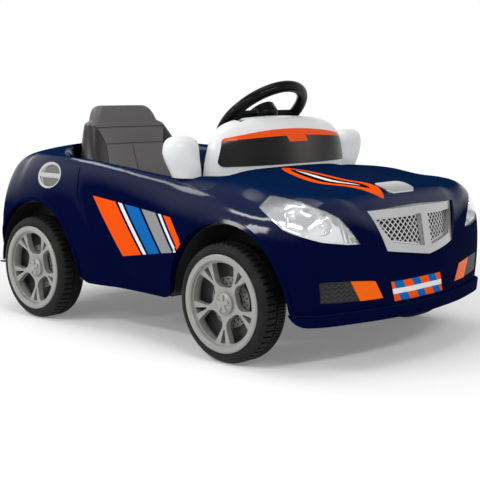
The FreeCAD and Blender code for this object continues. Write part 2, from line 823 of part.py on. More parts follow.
def make_body():
    shell = outer.cut(inner)
    lip = skin(lip_proud).common(box(front_x + arch_radius, far, -far, far, 0, lip_top))
    shell = shell.fuse(lip.cut(inner))
    well = box(-far, cowl_x, -cockpit_half_width, cockpit_half_width, skirt_height - overrun, firewall_height)
    well = well.common(box(seat_front_x - seat_lean - seat_thick, far, -far, far, 0, far))
    foot = box(cowl_x, firewall_x, -cockpit_half_width, cockpit_half_width, skirt_height - overrun,
               firewall_height)
    shell = less(shell, well, foot, cockpit_opening())
    for x, y in screw_places():
        shell = shell.fuse(rod(post_radius, V(x, y, pan_high), V(x, y, far)).common(outer))
    beads = []
    skin_out = skin(arch_bead_proud)
    for x in (front_x, rear_x):
        ring = rod(arch_radius + arch_bead_width, V(x, -far, axle_z), V(x, far, axle_z))
        for side in (-1, 1):
            edge = half_width - arch_flange_depth
            reach = box(-far, far, min(side * edge, side * far), max(side * edge, side * far), 0, far)
            beads.append(ring.common(skin_out).common(reach))
    for bead in beads:
        shell = shell.fuse(bead)
    shell = less(shell, below, panel_line())
    for side in (-1, 1):
        shell = less(shell, lamp_prism(side, 0), front_prism(fog_outline_shares, side, 0),
                     tail_prism(side, 0), cap_oval(side, cap_rim, -overrun, overrun))
    for x, y in screw_places():
        shell = shell.cut(rod(screw_radius, V(x, y, 0), V(x, y, pan_low + screw_length)))
    shell = less(shell, grille_prism(-lamp_gap),
                 rod(column_radius + column_hole_gap, on_column(0), on_column(wheelbase)))
    return shell


def make_lamps():
    lens_out = skin(lamp_proud)
    deep_fog = skin(-fog_step - fog_skin)
    prism = lamp_prism(1, lamp_gap)
    nodes["headlamp_lenses"] = pair(largest(prism.common(lens_out).cut(skin(-lamp_lens))))
    nodes["headlamp_reflectors"] = pair(make_reflector(prism))
    fog = front_prism(fog_outline_shares, 1, lamp_gap).common(skin(-fog_step)).cut(deep_fog)
    nodes["fog_grilles"] = pair(largest(fog.cut(front_prism(marker_inner_shares, 1, 0))))
    marker = front_prism(marker_inner_shares, 1, lamp_gap).common(outer).cut(deep_fog)
    nodes["marker_lamps"] = pair(largest(marker))
    tail = tail_prism(1, lamp_gap).common(lens_out).cut(skin(-tail_lamp_skin))
    nodes["tail_lamps"] = pair(largest(tail))
    hole = cap_oval(1, cap_rim, -overrun, overrun)
    cap = joined([cap_oval(1, 0, -cap_sink, cap_proud).cut(proud),
                  cap_oval(1, cap_rim + lamp_gap, -cap_sink, cap_proud)])
    cap = largest(cap.cut(proud.cut(hole)))
    place, out = cap_frame(1)
    up = out.cross(V(1, 0, 0)) * cap_bar / 2
    reach = V(cap_half_long, 0, 0)
    bar = plate([place - reach - up, place + reach - up, place + reach + up, place - reach + up],
                out * cap_proud)
    nodes["filler_caps"] = pair(cap.cut(cap_oval(1, cap_rim, cap_proud - cap_dish, overrun).cut(bar)))


def make_reflector(prism):
    """The tray behind a headlamp lens with its bowls and bulbs."""
    across, out = lamp_frame(1)
    front = skin(-lamp_lens - seat_gap)
    floor = skin(-lamp_floor)
    tray = prism.common(front).cut(skin(-lamp_depth))
    tray = largest(tray.cut(lamp_prism(1, lamp_gap + lamp_rim).cut(floor)))
    for u, z, size in lamp_cup_shares:
        up = V(0, 0, lamp_low + z * lamp_height)
        start = across * (lamp_place + u * lamp_width) + out * lamp_reach + up
        hit = Part.makeLine(start, start + out * wheelbase).common(floor)
        centre = max((vertex.Point for vertex in hit.Vertexes), key=lambda point: point.dot(out))
        radius = size * lamp_height
        cup = rod(radius, centre - out * lamp_cup_height, centre + out * lamp_cup_height)
        cup = cup.cut(Part.makeSphere(radius, centre + out * (lamp_cup_height + lamp_cup_lip)))
        bulb = rod(lamp_bulb, centre - out * lamp_cup_height, centre + out * lamp_cup_lip)
        tray = tray.fuse(joined([cup, bulb, Part.makeSphere(lamp_bulb, centre + out * lamp_cup_lip)]))
    return largest(tray.common(front).cut(skin(-lamp_depth)))


def make_grille():
    frame = grille_prism(0).common(grille_slab(grille_depth, 0))
    windows = grille_prism(grille_bar).cut(box(0, far, -grille_rib / 2, grille_rib / 2, 0, far))
    nodes["grille_frame"] = frame.cut(windows)
    pane = grille_prism(grille_bar + lamp_gap).common(grille_slab(grille_mesh_set + grille_mesh_depth,
                                                                  grille_mesh_set))
    pane = pane.cut(box(0, far, -grille_rib / 2 - lamp_gap, grille_rib / 2 + lamp_gap, 0, far))
    holes = []
    half = (grille_pitch - grille_strand) / 2
    columns = int(2 * grille_top_half / grille_pitch) + 2
    for i in range(-columns, columns + 1):
        for j in range(-columns, columns + 1):
            y = (i + j) * grille_pitch / 2
            z = (grille_top + grille_bottom) / 2 + (i - j) * grille_pitch / 2
            if abs(y) < grille_top_half and grille_bottom < z < grille_top:
                points = [V(nose_cut_x, y - half, z), V(nose_cut_x, y, z - half),
                          V(nose_cut_x, y + half, z), V(nose_cut_x, y, z + half)]
                holes.append(plate(points, V(far, 0, 0)))
    border = grille_prism(grille_bar + lamp_gap).cut(grille_prism(grille_bar + lamp_gap + grille_strand))
    border = border.fuse(box(0, far, -grille_rib / 2 - grille_strand, grille_rib / 2 + grille_strand, 0, far))
    nodes["grille_mesh"] = pane.cut(Part.makeCompound(holes)).fuse(pane.common(border))
    back = grille_prism(lamp_gap).common(grille_slab(grille_depth + grille_back, grille_depth))
    nodes["grille_backing"] = back


def make_cowl():
    shell = cowl_skin(0).cut(cowl_skin(-cowl_wall, cowl_wall)).cut(proud)
    tunnel = rod(bush_radius, on_column(0), on_column(bush_place + bush_length))
    shell = shell.cut(tunnel)
    pocket, bezel, rocker, pin = switch_pieces()
    shell = shell.cut(pocket)
    nodes["dash_cowl"] = shell
    edge = [V(cowl_x, -screen_low_half, screen_low), V(cowl_x, screen_low_half, screen_low),
            V(cowl_x, screen_high_half, screen_high)]
    lines = [Part.LineSegment(edge[0], edge[1]).toShape(), Part.LineSegment(edge[1], edge[2]).toShape()]
    crown = V(cowl_x, 0, screen_high + screen_rise)
    last = V(cowl_x, -screen_high_half, screen_high)
    lines.append(Part.Arc(edge[2], crown, last).toShape())
    lines.append(Part.LineSegment(last, edge[0]).toShape())
    panel = Part.Face(Part.Wire(lines)).extrude(V(far, 0, 0))
    upright = [e for e in panel.Edges if e.BoundBox.XLength > cowl_front]
    panel = panel.makeFillet(screen_corner, upright)
    layer = cowl_skin(screen_set + screen_skin).cut(cowl_skin(screen_set))
    nodes["windscreen_panel"] = panel.common(layer)
    nodes["switch_bezel"] = bezel
    nodes["direction_switch"] = rocker
    nodes["switch_pin"] = pin


def switch_pieces():
    """The pocket in the dash, the bezel in it, the rocker and its pin."""
    turn = FreeCAD.Rotation(V(0, 1, 0), -switch_tilt)
    out = turn.multVec(V(-1, 0, 0))
    up = turn.multVec(V(0, 0, 1))
    face = switch_face()

    def block(long, wide, deep, high):
        corner = face - up * long / 2 - V(0, wide / 2, 0) - out * deep
        points = [corner, corner + up * long, corner + up * long + V(0, wide, 0), corner + V(0, wide, 0)]
        return plate(points, out * (deep + high))

    pocket = block(switch_length, switch_width, switch_depth + overrun, overrun)
    bezel = block(switch_length, switch_width, switch_depth, switch_proud)
    room_long = switch_length - 2 * switch_wall
    room_wide = switch_width - 2 * switch_wall
    bezel = bezel.cut(block(room_long, room_wide, switch_depth - switch_wall, overrun))
    axle = face - out * (rocker_radius - switch_proud) / 2
    reach = V(0, switch_width / 2, 0)
    hole = rod(rocker_pin_radius, axle - reach, axle + reach)
    bezel = bezel.cut(hole)
    half = V(0, room_wide / 2 - rocker_gap, 0)
    rocker = rod(rocker_radius, axle - half, axle + half)
    keep = block(room_long - 2 * rocker_gap, room_wide, rocker_radius / 2, rocker_radius)
    rocker = rocker.common(keep)
    rocker = rocker.cut(rod(rocker_pin_radius + run_gap, axle - reach, axle + reach))
    return pocket, bezel, rocker, hole


def switch_face():
    probe = Part.makeLine(V(wheel_x - wheelbase, switch_y, switch_z), V(cowl_x, switch_y, switch_z))
    hit = probe.common(cowl_skin(0))
    return V(hit.BoundBox.XMin, switch_y, switch_z)


def oval(centre, half_x, half_y):
    wide, deep = V(half_x, 0, 0), V(0, half_y, 0)
    curve = Part.BSplineCurve()
    ring = []
    for step in range(oval_points):
        turn = math.radians(360 / oval_points * step)
        ring.append(centre + wide * math.cos(turn) + deep * math.sin(turn))
    curve.interpolate(ring, PeriodicFlag=True)
    return Part.Wire([curve.toShape()])


def make_mirrors():
    rings = []
    for z, x, y in mirror_shares:
        height = z * (mirror_rise if z > 0 else mirror_drop)
        inward = mirror_half_y * (1 - y) if z < 0 else 0
        rings.append(oval(V(mirror_x, mirror_y - inward, mirror_z + height), mirror_half_x * x,
                          mirror_half_y * y))
    pod = Part.makeLoft(rings, True)
    flat = mirror_x - mirror_flat
    high = mirror_z - mirror_rise * mirror_glass_share - seat_gap
    pod = pod.cut(box(-far, flat, 0, far, high, far)).cut(proud).cut(cowl_skin(seat_gap))
    pod = largest(pod)
    curve = oval(V(0, 0, 0), mirror_rise * mirror_glass_share, mirror_half_y * mirror_glass_share)
    glass = Part.Face(curve).extrude(V(0, 0, mirror_glass))
    glass.rotate(V(0, 0, 0), V(0, 1, 0), -90)
    glass.translate(V(flat, mirror_y, mirror_z))
    nodes["left_mirror"], nodes["right_mirror"] = pod, other(pod)
    nodes["mirror_glasses"] = pair(glass)


def ring_solid(rows):
    """The smooth solid inside a stack of closed rings, with flat ends."""
    count = len(rows[0])
    mults, knots = knot_row(len(rows))
    surface = Part.BSplineSurface()
    surface.buildFromPolesMultsKnots(rows, mults, [1] * (count + 1), knots,
                                     [float(i) for i in range(count + 1)], False, True, 3, 3)
    side = surface.toShape()
    ends = [Part.Face(Part.Wire([edge])) for edge in side.Edges
            if len(side.ancestorsOfType(edge, Part.Face)) == 1 and edge.Closed]
    shell = Part.makeShell([side] + ends)
    shell.sewShape()
    return Part.makeSolid(shell)


def seat_rings(gap):
    rings = []
    for z, lean, wide, bolster, thick in seat_back_shares:
        height = seat_rise - gap + z * (seat_top - seat_rise)
        front = seat_front_x + gap - lean * seat_lean
        half = [(front + b * bolster * seat_bolster - t * (thick * seat_thick + 2 * gap),
                 y * (wide * seat_half_width + gap)) for y, b, t in seat_section_shares]
        points = [V(x, y, height) for x, y in half]
        points += [V(x, -y, height) for x, y in reversed(half[1:-1])]
        rings.append(points)
    return rings


def seam_band(start, end):
    """A slab through the seat back along one of its seams."""
    rise = seat_top - seat_rise
    low = V(-far, start[0] * seat_half_width, seat_rise + start[1] * rise)
    high = V(-far, end[0] * seat_half_width, seat_rise + end[1] * rise)
    along = (high - low).normalize() * seam_width / 2
    aside = along.cross(V(1, 0, 0))
    points = [low - along - aside, low - along + aside, high + along + aside, high + along - aside]
    return plate(points, V(2 * far, 0, 0))


def make_seat():
    back = ring_solid(seat_rings(0))
    clear = ring_solid(seat_rings(seat_gap))
    whole = back.copy()
    under = back.copy()
    under.translate(V(-seam_depth, 0, 0))
    for start, end in seam_shares:
        back = back.cut(seam_band(start, end).common(whole).cut(under))
    rest = proud.common(box(-far, far, -far, far, firewall_height, far)).cut(cockpit_opening())
    back = largest(back.cut(rest))
    rings = []
    for x, high, wide in base_shares:
        place = base_front_x - x * base_length
        half = [(y * wide * base_half_width, seat_rise + z * high * base_height + b * base_bolster)
                for y, z, b in base_section_shares]
        points = [V(place, y, z) for y, z in half]
        points += [V(place, -y, z) for y, z in reversed(half[1:-1])]
        rings.append(points)
    base = ring_solid(rings[::-1]).cut(clear)
    nodes["seat_back"] = back
    nodes["seat_base"] = largest(base)
    riser = box(riser_rear_x, riser_front_x, -riser_half_width, riser_half_width, pan_high, seat_rise)
    room = box(riser_rear_x + riser_wall, riser_front_x - riser_wall, -riser_half_width + riser_wall,
               riser_half_width - riser_wall, pan_high, seat_rise - riser_wall)
    riser = riser.cut(room)
    place = V(riser_front_x - overrun, socket_y, socket_z)
    riser = riser.cut(rod(socket_radius, place, place + V(2 * overrun, 0, 0)))
    hole = loom_radius + loom_hole_gap
    riser = riser.cut(rod(hole, V(battery_x, loom_y, loom_height),
                          V(riser_front_x + overrun, loom_y, loom_height)))
    riser = riser.cut(rod(hole, V(loom_motor_x, 0, loom_motor_z), V(loom_motor_x, -far, loom_motor_z)))
    nodes["seat_riser"] = riser


def make_pan():
    pan = skin(-wall - seat_gap).common(box(pan_rear_x, far, -far, far, pan_low, pan_high))
    for half, reach, x in ((rear_well_half, rear_well_reach, rear_x),
                           (front_well_half, front_well_reach, front_x)):
        for side in (-1, 1):
            pan = pan.cut(box(x - reach, x + reach, min(side * half, side * far),
                              max(side * half, side * far), 0, far))
    for side in (-1, 1):
        y = side * rib_half_share * front_well_half
        rib = box(riser_front_x + overrun, front_x - beam_half_x - overrun, y - rib_width / 2,
                  y + rib_width / 2, pan_high, pan_high + rib_height)
        pan = pan.fuse(rib)
    for x, y in screw_places():
        pan = pan.cut(rod(screw_radius, V(x, y, 0), V(x, y, far)))
        pan = pan.cut(rod(screw_head + screw_head_gap, V(x, y, 0), V(x, y, pan_low + screw_head_height)))
    nodes["floor_pan"] = pan.removeSplitter()
    screws = []
    for x, y in screw_places():
        head = rod(screw_head, V(x, y, pan_low), V(x, y, pan_low + screw_head_height))
        screws.append(joined([head, rod(screw_radius, V(x, y, pan_low), V(x, y, pan_low + screw_length))]))
    nodes["body_screws"] = Part.makeCompound(screws)


def make_steering():
    turn = FreeCAD.Placement(wheel_centre, FreeCAD.Rotation(V(0, 1, 0), -wheel_tilt))
    rim = Part.makeTorus(wheel_radius, wheel_tube)
    hub = Part.makeCylinder(wheel_hub_radius, wheel_hub_high - wheel_hub_low, V(0, 0, wheel_hub_low))
    edges = [e for e in hub.Edges if e.Closed and e.BoundBox.ZMin < wheel_hub_low + run_gap]
    hub = hub.makeFillet(spoke_thick, edges)
    pieces = [rim, hub]
    for angle in wheel_spoke_turns:
        spoke = box(0, wheel_radius, -spoke_width / 2, spoke_width / 2, -spoke_thick / 2, spoke_thick / 2)
        long_edges = [e for e in spoke.Edges if e.BoundBox.XLength > wheel_radius / 2]
        spoke = spoke.makeFillet(spoke_thick / 3, long_edges)
        spoke.rotate(V(0, 0, 0), V(0, 0, 1), angle + 180)
        pieces.append(spoke)
    wheel = pieces[0]
    for piece in pieces[1:]:
        wheel = wheel.fuse(piece)
    wheel = wheel.fuse(Part.makeCylinder(neck_radius, neck_length, V(0, 0, wheel_hub_low - neck_length)))
    room = Part.makeCylinder(horn_radius + horn_gap, far,
                             V(0, 0, wheel_hub_high - horn_height / 2 - horn_travel - horn_gap))
    wheel = wheel.cut(room).cut(Part.makeCylinder(column_radius, neck_length - wheel_hub_low,
                                                  V(0, 0, wheel_hub_low - neck_length)))
    horn = Part.makeCylinder(horn_radius, horn_height, V(0, 0, wheel_hub_high - horn_height / 2))
    top = [e for e in horn.Edges if e.Closed and e.BoundBox.ZMin > wheel_hub_high]
    horn = horn.makeFillet(horn_height / 3, top)
    for shape in (wheel, horn):
        shape.Placement = turn
    nodes["steering_wheel"] = wheel
    nodes["horn_button"] = horn
    nodes["column_bush"] = rod(bush_radius, on_column(bush_place), on_column(bush_place + bush_length)).cut(
        rod(column_radius + run_gap, on_column(0), on_column(wheelbase)))
    fork = fork_place()
    arm_middle = fork - column_way * crank_pin_above
    column_end = arm_middle - column_across() * crank_length
    column = rod(column_radius, on_column(0), column_end + column_way * crank_thick / 2)
    side = V(0, crank_half, 0)
    half = column_way * crank_thick / 2
    corner = [arm_middle - side - half, arm_middle + side - half, column_end + side - half,
              column_end - side - half]
    arm = plate(corner, column_way * crank_thick)
    for end in (arm_middle, column_end):
        arm = arm.fuse(rod(crank_half, end - half, end + half))
    pin = rod(crank_pin_radius, arm_middle, fork + column_way * crank_pin_below)
    nodes["steering_column"] = joined([column, arm, pin])
    place = on_column(bracket_place)
    eye = V(0, 2 * bracket_half, 0)
    points = [V(front_x - beam_half_x, -bracket_half, beam_high),
              V(front_x + beam_half_x, -bracket_half, beam_high),
              V(place.x + bracket_eye, -bracket_half, place.z),
              V(place.x, -bracket_half, place.z + bracket_eye),
              V(place.x - bracket_eye, -bracket_half, place.z)]
    bracket = plate(points, eye)
    sleeve = rod(bracket_eye, place - column_way * bracket_half, place + column_way * bracket_half)
    bracket = bracket.fuse(sleeve)
    nodes["column_bracket"] = bracket.cut(rod(column_radius + run_gap, on_column(0), on_column(wheelbase)))
    beam = joined([box(front_x - beam_half_x, front_x + beam_half_x, -beam_foot_half, beam_foot_half,
                       pan_high, beam_high),
                   box(front_x - beam_half_x, front_x + beam_half_x, -kingpin_y, kingpin_y, beam_low,
                       beam_high), rod(beam_half_x, V(front_x, kingpin_y, beam_low),
                                       V(front_x, kingpin_y, beam_high)),
                   rod(beam_half_x, V(front_x, -kingpin_y, beam_low), V(front_x, -kingpin_y, beam_high))])
    pins = []
    for side in (-1, 1):
        place = V(front_x, side * kingpin_y, 0)
        up = V(0, 0, 1)
        pin = rod(kingpin_radius, place + up * kingpin_low, place + up * beam_high)
        head = rod(kingpin_radius + kingpin_head, place + up * kingpin_low,
                   place + up * (kingpin_low + kingpin_head))
        pins.append(joined([pin, head]))
        beam = beam.cut(pin)
    nodes["front_beam"] = beam
    nodes["kingpins"] = Part.makeCompound(pins)
    knuckle = make_knuckle(tie_height)
    nodes["left_knuckle"], nodes["right_knuckle"] = knuckle, other(knuckle)
    nodes["tie_rod"] = make_tie_rod(fork)


def column_across():
    return V(-column_way.z, 0, column_way.x)


def fork_place():
    """Where the crank pin crosses the fork of the tie rod when the wheels are straight."""
    across = column_across()
    reach = (wheel_z + crank_length * across.z - tie_height) / -column_way.z
    return on_column(reach) + across * crank_length


def make_knuckle(tie_z):
    sleeve_high = beam_low - seat_gap
    sleeve = rod(knuckle_radius, V(front_x, kingpin_y, knuckle_low), V(front_x, kingpin_y, sleeve_high))
    stub = rod(stub_radius, V(front_x, kingpin_y, axle_z), V(front_x, nut_face(), axle_z))
    collar = rod(stub_collar, V(front_x, kingpin_y, axle_z), V(front_x, rim_back_y - seat_gap, axle_z))
    nut = rod(nut_radius, V(front_x, nut_face(), axle_z), V(front_x, nut_face() + nut_height, axle_z))
    tip_x = front_x + arm_length
    arm = box(front_x, tip_x, kingpin_y - arm_width / 2, kingpin_y + arm_width / 2, arm_low, sleeve_high)
    tip = rod(arm_boss, V(tip_x, kingpin_y, arm_low), V(tip_x, kingpin_y, tie_z - tie_eye_half - seat_gap))
    pin = rod(tie_pin_radius, V(tip_x, kingpin_y, arm_low),
              V(tip_x, kingpin_y, tie_z + tie_eye_half + tie_pin_radius))
    whole = joined([sleeve, stub, collar, nut, arm, tip, pin])
    return whole.cut(rod(kingpin_radius + run_gap, V(front_x, kingpin_y, 0), V(front_x, kingpin_y, far)))


def nut_face():
    return wheel_y + hub_high + nut_gap


def make_tie_rod(fork):
    x, z = front_x + arm_length, fork.z
    bar = rod(tie_radius, V(x, -kingpin_y, z), V(x, kingpin_y, z))
    half = crank_pin_radius + fork_gap
    block = box(fork.x - fork_rear - fork_end, fork.x + fork_front + fork_end, -half - fork_plate,
                half + fork_plate, z - fork_half_height, z + fork_half_height)
    web = box(x, fork.x - fork_rear, -half - fork_plate, half + fork_plate, tie_web_low, tie_web_high)
    pieces = [bar, block, web]
    for side in (-1, 1):
        pieces.append(rod(tie_eye, V(x, side * kingpin_y, z - tie_eye_half),
                          V(x, side * kingpin_y, z + tie_eye_half)))
    whole = joined(pieces)
    whole = whole.cut(box(fork.x - fork_rear, fork.x + fork_front, -half, half, 0, far))
    for side in (-1, 1):
        whole = whole.cut(rod(tie_pin_radius + run_gap, V(x, side * kingpin_y, 0),
                              V(x, side * kingpin_y, far)))
    return whole


def spoke_window(inner_radius, outer_radius, narrow, wide, inner_round, outer_round, angle):
    """The prism of an opening in the spokes, rounded at its inner and its outer corners."""
    points = []
    for radius, turn in ((inner_radius, narrow), (inner_radius, -narrow), (outer_radius, -wide),
                         (outer_radius, 0), (outer_radius, wide)):
        at = math.radians(turn + angle)
        points.append(V(radius * math.sin(at), -far, radius * math.cos(at)))
    lines = [Part.LineSegment(points[0], points[1]).toShape(),
             Part.LineSegment(points[1], points[2]).toShape(),
             Part.Arc(points[2], points[3], points[4]).toShape(),
             Part.LineSegment(points[4], points[0]).toShape()]
    prism = Part.Face(Part.Wire(lines)).extrude(V(0, 2 * far, 0))
    middle = (inner_radius + outer_radius) / 2
    for size, outside in ((inner_round, False), (outer_round, True)):
        edges = [edge for edge in prism.Edges if edge.BoundBox.YLength > far
                 and edge.Curve.TypeId == "Part::GeomLine"
                 and edge.CenterOfMass.Length > inner_radius - run_gap
                 and (edge.CenterOfMass.Length > middle) == outside]
        prism = prism.makeFillet(size, edges)
    return prism


def around(shape, count, start=0):
    """Copies of a shape set evenly round the axle."""
    copies = []
    for step in range(count):
        copy = shape.copy()
        copy.rotate(V(0, 0, 0), V(0, 1, 0), start + 360 / count * step)
        copies.append(copy)
    return copies


def make_wheel():
    """One wheel about the origin with its axle on Y and its face towards +Y: tyre, rim and hub cap."""
    half = tyre_width / 2
    origin = V(0, 0, 0)
    flange = rim_flange_radius + run_gap
    wall_line = [(flange + up * (tyre_radius - flange), inward * tyre_round)
                 for up, inward in tyre_wall_shares]
    tyre = turned([(rim_seat_radius, -half)] + [(radius, y - half) for radius, y in wall_line]
                  + [(radius, half - tyre_side - y) for radius, y in reversed(wall_line)]
                  + [(flange, half - rim_flange_width), (rim_seat_radius, half - rim_flange_width)],
                  origin, 1)
    ring = turned([(tyre_radius - tread_depth, -tread_groove / 2),
                   (tyre_radius + overrun, -tread_groove / 2), (tyre_radius + overrun, tread_groove / 2),
                   (tyre_radius - tread_depth, tread_groove / 2)], origin, 1)
    notch = box(-tread_notch / 2, tread_notch / 2, tread_groove, half - tyre_side - tyre_round / 2,
                tyre_radius - tread_depth, tyre_radius + overrun)
    rib = box(-rib_notch / 2, rib_notch / 2, -half - overrun, -tread_groove, tyre_radius - rib_depth,
              tyre_radius + overrun)
    notches = around(notch, tread_count) + around(rib, rib_count)
    tyre = tyre.cut(ring).cut(Part.makeCompound(notches))
    bore = axle_radius + run_gap
    floor = rim_floor_low + rim_floor
    disc = floor + disc_thick
    bowl = turned([(bore, -half), (hub_radius, -half), (hub_radius, rim_floor_low),
                   (rim_bowl_radius, rim_floor_low), (rim_bowl_radius, -half), (rim_seat_radius, -half),
                   (rim_seat_radius, half - rim_flange_width),
                   (rim_flange_radius, half - rim_flange_width), (rim_flange_radius, half - rim_round),
                   (rim_flange_radius - rim_round, half), (rim_bowl_radius + rim_round, half),
                   (rim_bowl_radius, half - rim_flange_width / 2), (rim_bowl_radius, floor),
                   (disc_outer, floor), (disc_outer, disc), (disc_inner, disc), (disc_inner, floor),
                   (hub_radius, floor), (hub_radius, hub_high), (bore, hub_high)], origin, 1)
    holes = []
    for row, share in enumerate(disc_row_shares):
        place = V(0, disc, disc_inner + share * (disc_outer - disc_inner))
        hole = rod(disc_hole, place - V(0, disc_hole_depth, 0), place + V(0, overrun, 0))
        holes += around(hole, disc_hole_count, 180 / disc_hole_count * row)
    bowl = bowl.cut(Part.makeCompound(holes))
    star = turned([(hub_radius - cap_sink, spoke_back - spoke_dish), (rim_bowl_radius, spoke_back),
                   (rim_bowl_radius, spoke_face), (hub_radius, spoke_face - spoke_dish),
                   (hub_radius - cap_sink, spoke_face - spoke_dish)], origin, 1)
    for step in range(spoke_count):
        turn = 360 / spoke_count * step
        star = star.cut(spoke_window(rim_bowl_radius * window_inner_share,
                                     rim_bowl_radius * window_outer_share, window_narrow, window_wide,
                                     window_round, window_corner, turn))
        star = star.cut(spoke_window(rim_bowl_radius * slot_inner_share,
                                     rim_bowl_radius * slot_outer_share, slot_narrow, slot_wide,
                                     slot_corner, slot_corner, turn + 180 / spoke_count))
    rim = bowl.fuse(star).cut(rod(cap_boss_bore, V(0, hub_high, 0), V(0, half, 0)))
    face = spoke_face - spoke_dish
    top = face + cap_boss_height
    seat = face + cap_boss_height / 2
    cap = turned([(cap_boss_bore + seat_gap, face), (cap_boss_radius, face), (cap_boss_radius, seat),
                  (cap_boss_radius * cap_face_share, face + cap_boss_height * cap_edge_share), (0, top),
                  (0, seat), (cap_boss_bore + seat_gap, seat)], origin, 1)
    ray = box(-cap_ray / 2, cap_ray / 2, seat, top + cap_ray_proud, 0, cap_boss_radius * cap_face_share)
    cap = joined([cap] + around(ray, spoke_count))
    return tyre, rim.removeSplitter(), cap


def make_wheels():
    names = ("tyre", "rim", "hub_cap")
    made = make_wheel()
    for name, x, side in (("front_left", front_x, 1), ("front_right", front_x, -1),
                          ("rear_left", rear_x, 1), ("rear_right", rear_x, -1)):
        for part, shape in zip(names, made):
            copy = shape.copy()
            if side < 0:
                copy.rotate(V(0, 0, 0), V(0, 0, 1), 180)
            copy.translate(V(x, side * wheel_y, axle_z))
            nodes[name + "_" + part] = copy


def make_drive():
    end = nut_face()
    pieces = [rod(axle_radius, V(rear_x, -end, axle_z), V(rear_x, end, axle_z))]
    for side in (-1, 1):
        pieces.append(rod(nut_radius, V(rear_x, side * end, axle_z),
                          V(rear_x, side * (end + nut_height), axle_z)))
    nodes["rear_axle"] = joined(pieces)
    hole = rod(axle_radius + run_gap, V(rear_x, -far, axle_z), V(rear_x, far, axle_z))
    blocks = []
    for y in (-axle_block_y, axle_block_y):
        blocks.append(box(rear_x - axle_block_reach, rear_x + axle_block_reach, y - axle_block_half,
                          y + axle_block_half, pan_high, axle_block_high).cut(hole))
    nodes["axle_blocks"] = Part.makeCompound(blocks)
    inside = gearbox_outer - gearbox_width
    case = box(rear_x - gearbox_rear, rear_x + gearbox_front, -gearbox_outer, -inside, pan_high, gearbox_high)
    edges = [e for e in case.Edges if e.BoundBox.YLength > gearbox_width / 2
             and e.BoundBox.ZMin > gearbox_high - run_gap]
    nodes["gearbox"] = case.makeFillet(gearbox_corner, edges).cut(hole)
    dog = rod(dog_radius, V(rear_x, -rim_back_y, axle_z), V(rear_x, -gearbox_outer - seat_gap, axle_z))
    nodes["drive_dog"] = dog.cut(hole)
    place = V(rear_x + motor_forward, -inside, motor_high)
    way = V(0, 1, 0)
    motor = joined([rod(motor_radius, place, place + way * motor_length),
                    rod(motor_cap_radius, place, place + way * (motor_length + motor_cap_length))])
    nodes["motor"] = motor
    low = V(battery_x - battery_length / 2, -battery_width / 2, pan_high)
    nodes["battery"] = Part.makeBox(battery_length, battery_width, battery_height, low)
    top = pan_high + battery_height
    half = battery_width / 2
    foot = half + strap_thick + strap_foot
    outside = [V(battery_x - strap_width / 2, y, z)
               for y, z in ((-foot, pan_high), (-foot, pan_high + strap_thick),
                            (-half - strap_thick, pan_high + strap_thick),
                            (-half - strap_thick, top + strap_thick),
                            (half + strap_thick, top + strap_thick),
                            (half + strap_thick, pan_high + strap_thick), (foot, pan_high + strap_thick),
                            (foot, pan_high), (half, pan_high), (half, top), (-half, top),
                            (-half, pan_high))]
    nodes["battery_strap"] = plate(outside, V(strap_width, 0, 0))


def make_controls():
    place = V(pedal_x, pedal_y, pedal_z)
    half = pedal_width / 2
    lean = math.radians(pedal_angle)
    way = V(math.cos(lean), 0, math.sin(lean))
    up = V(-math.sin(lean), 0, math.cos(lean))
    corner = place - V(0, half, 0) + up * (pedal_barrel - pedal_thick)
    pad = plate([corner, corner + way * pedal_length, corner + way * pedal_length + up * pedal_thick,
                 corner + up * pedal_thick], V(0, pedal_width, 0))
    upright = [e for e in pad.Edges if e.BoundBox.YLength < run_gap and e.Length < 2 * pedal_thick
               and e.CenterOfMass.x > pedal_x + pedal_length / 2]
    pad = pad.makeFillet(pedal_barrel, upright)
    barrel = rod(pedal_barrel, place - V(0, half, 0), place + V(0, half, 0))
    hole = rod(pedal_pin_radius + run_gap, place - V(0, far, 0), place + V(0, far, 0))
    nodes["drive_pedal"] = joined([pad, barrel]).cut(hole)
    lugs = []
    for side in (-1, 1):
        y = pedal_y + side * (half + pedal_lug_gap + pedal_lug / 2)
        lug = box(pedal_x - pedal_barrel, pedal_x + pedal_barrel, y - pedal_lug / 2, y + pedal_lug / 2,
                  pan_high, pedal_z)
        lug = lug.fuse(rod(pedal_barrel, V(pedal_x, y - pedal_lug / 2, pedal_z),
                           V(pedal_x, y + pedal_lug / 2, pedal_z)))
        lugs.append(lug.removeSplitter().cut(rod(pedal_pin_radius, V(pedal_x, -far, pedal_z),
                                                 V(pedal_x, far, pedal_z))))
    nodes["pedal_lugs"] = Part.makeCompound(lugs)
    reach = V(0, half + pedal_lug_gap + pedal_lug, 0)
    nodes["pedal_pin"] = rod(pedal_pin_radius, place - reach, place + reach)
    nodes["pedal_switch"] = box(pedal_x + pedal_box_reach, pedal_x + pedal_box_reach + pedal_box_width,
                                pedal_y - pedal_box_width / 2, pedal_y + pedal_box_width / 2, pan_high,
                                pan_high + pedal_box_height)
    face = V(riser_front_x, socket_y, socket_z)
    ahead = V(1, 0, 0)
    socket = joined([rod(socket_radius, face - ahead * socket_length, face),
                     rod(socket_flange, face, face + ahead * socket_flange_thick)])
    nodes["charge_socket"] = socket.cut(rod(socket_bore, face - ahead * (socket_depth - socket_flange_thick),
                                            face + ahead * overrun))


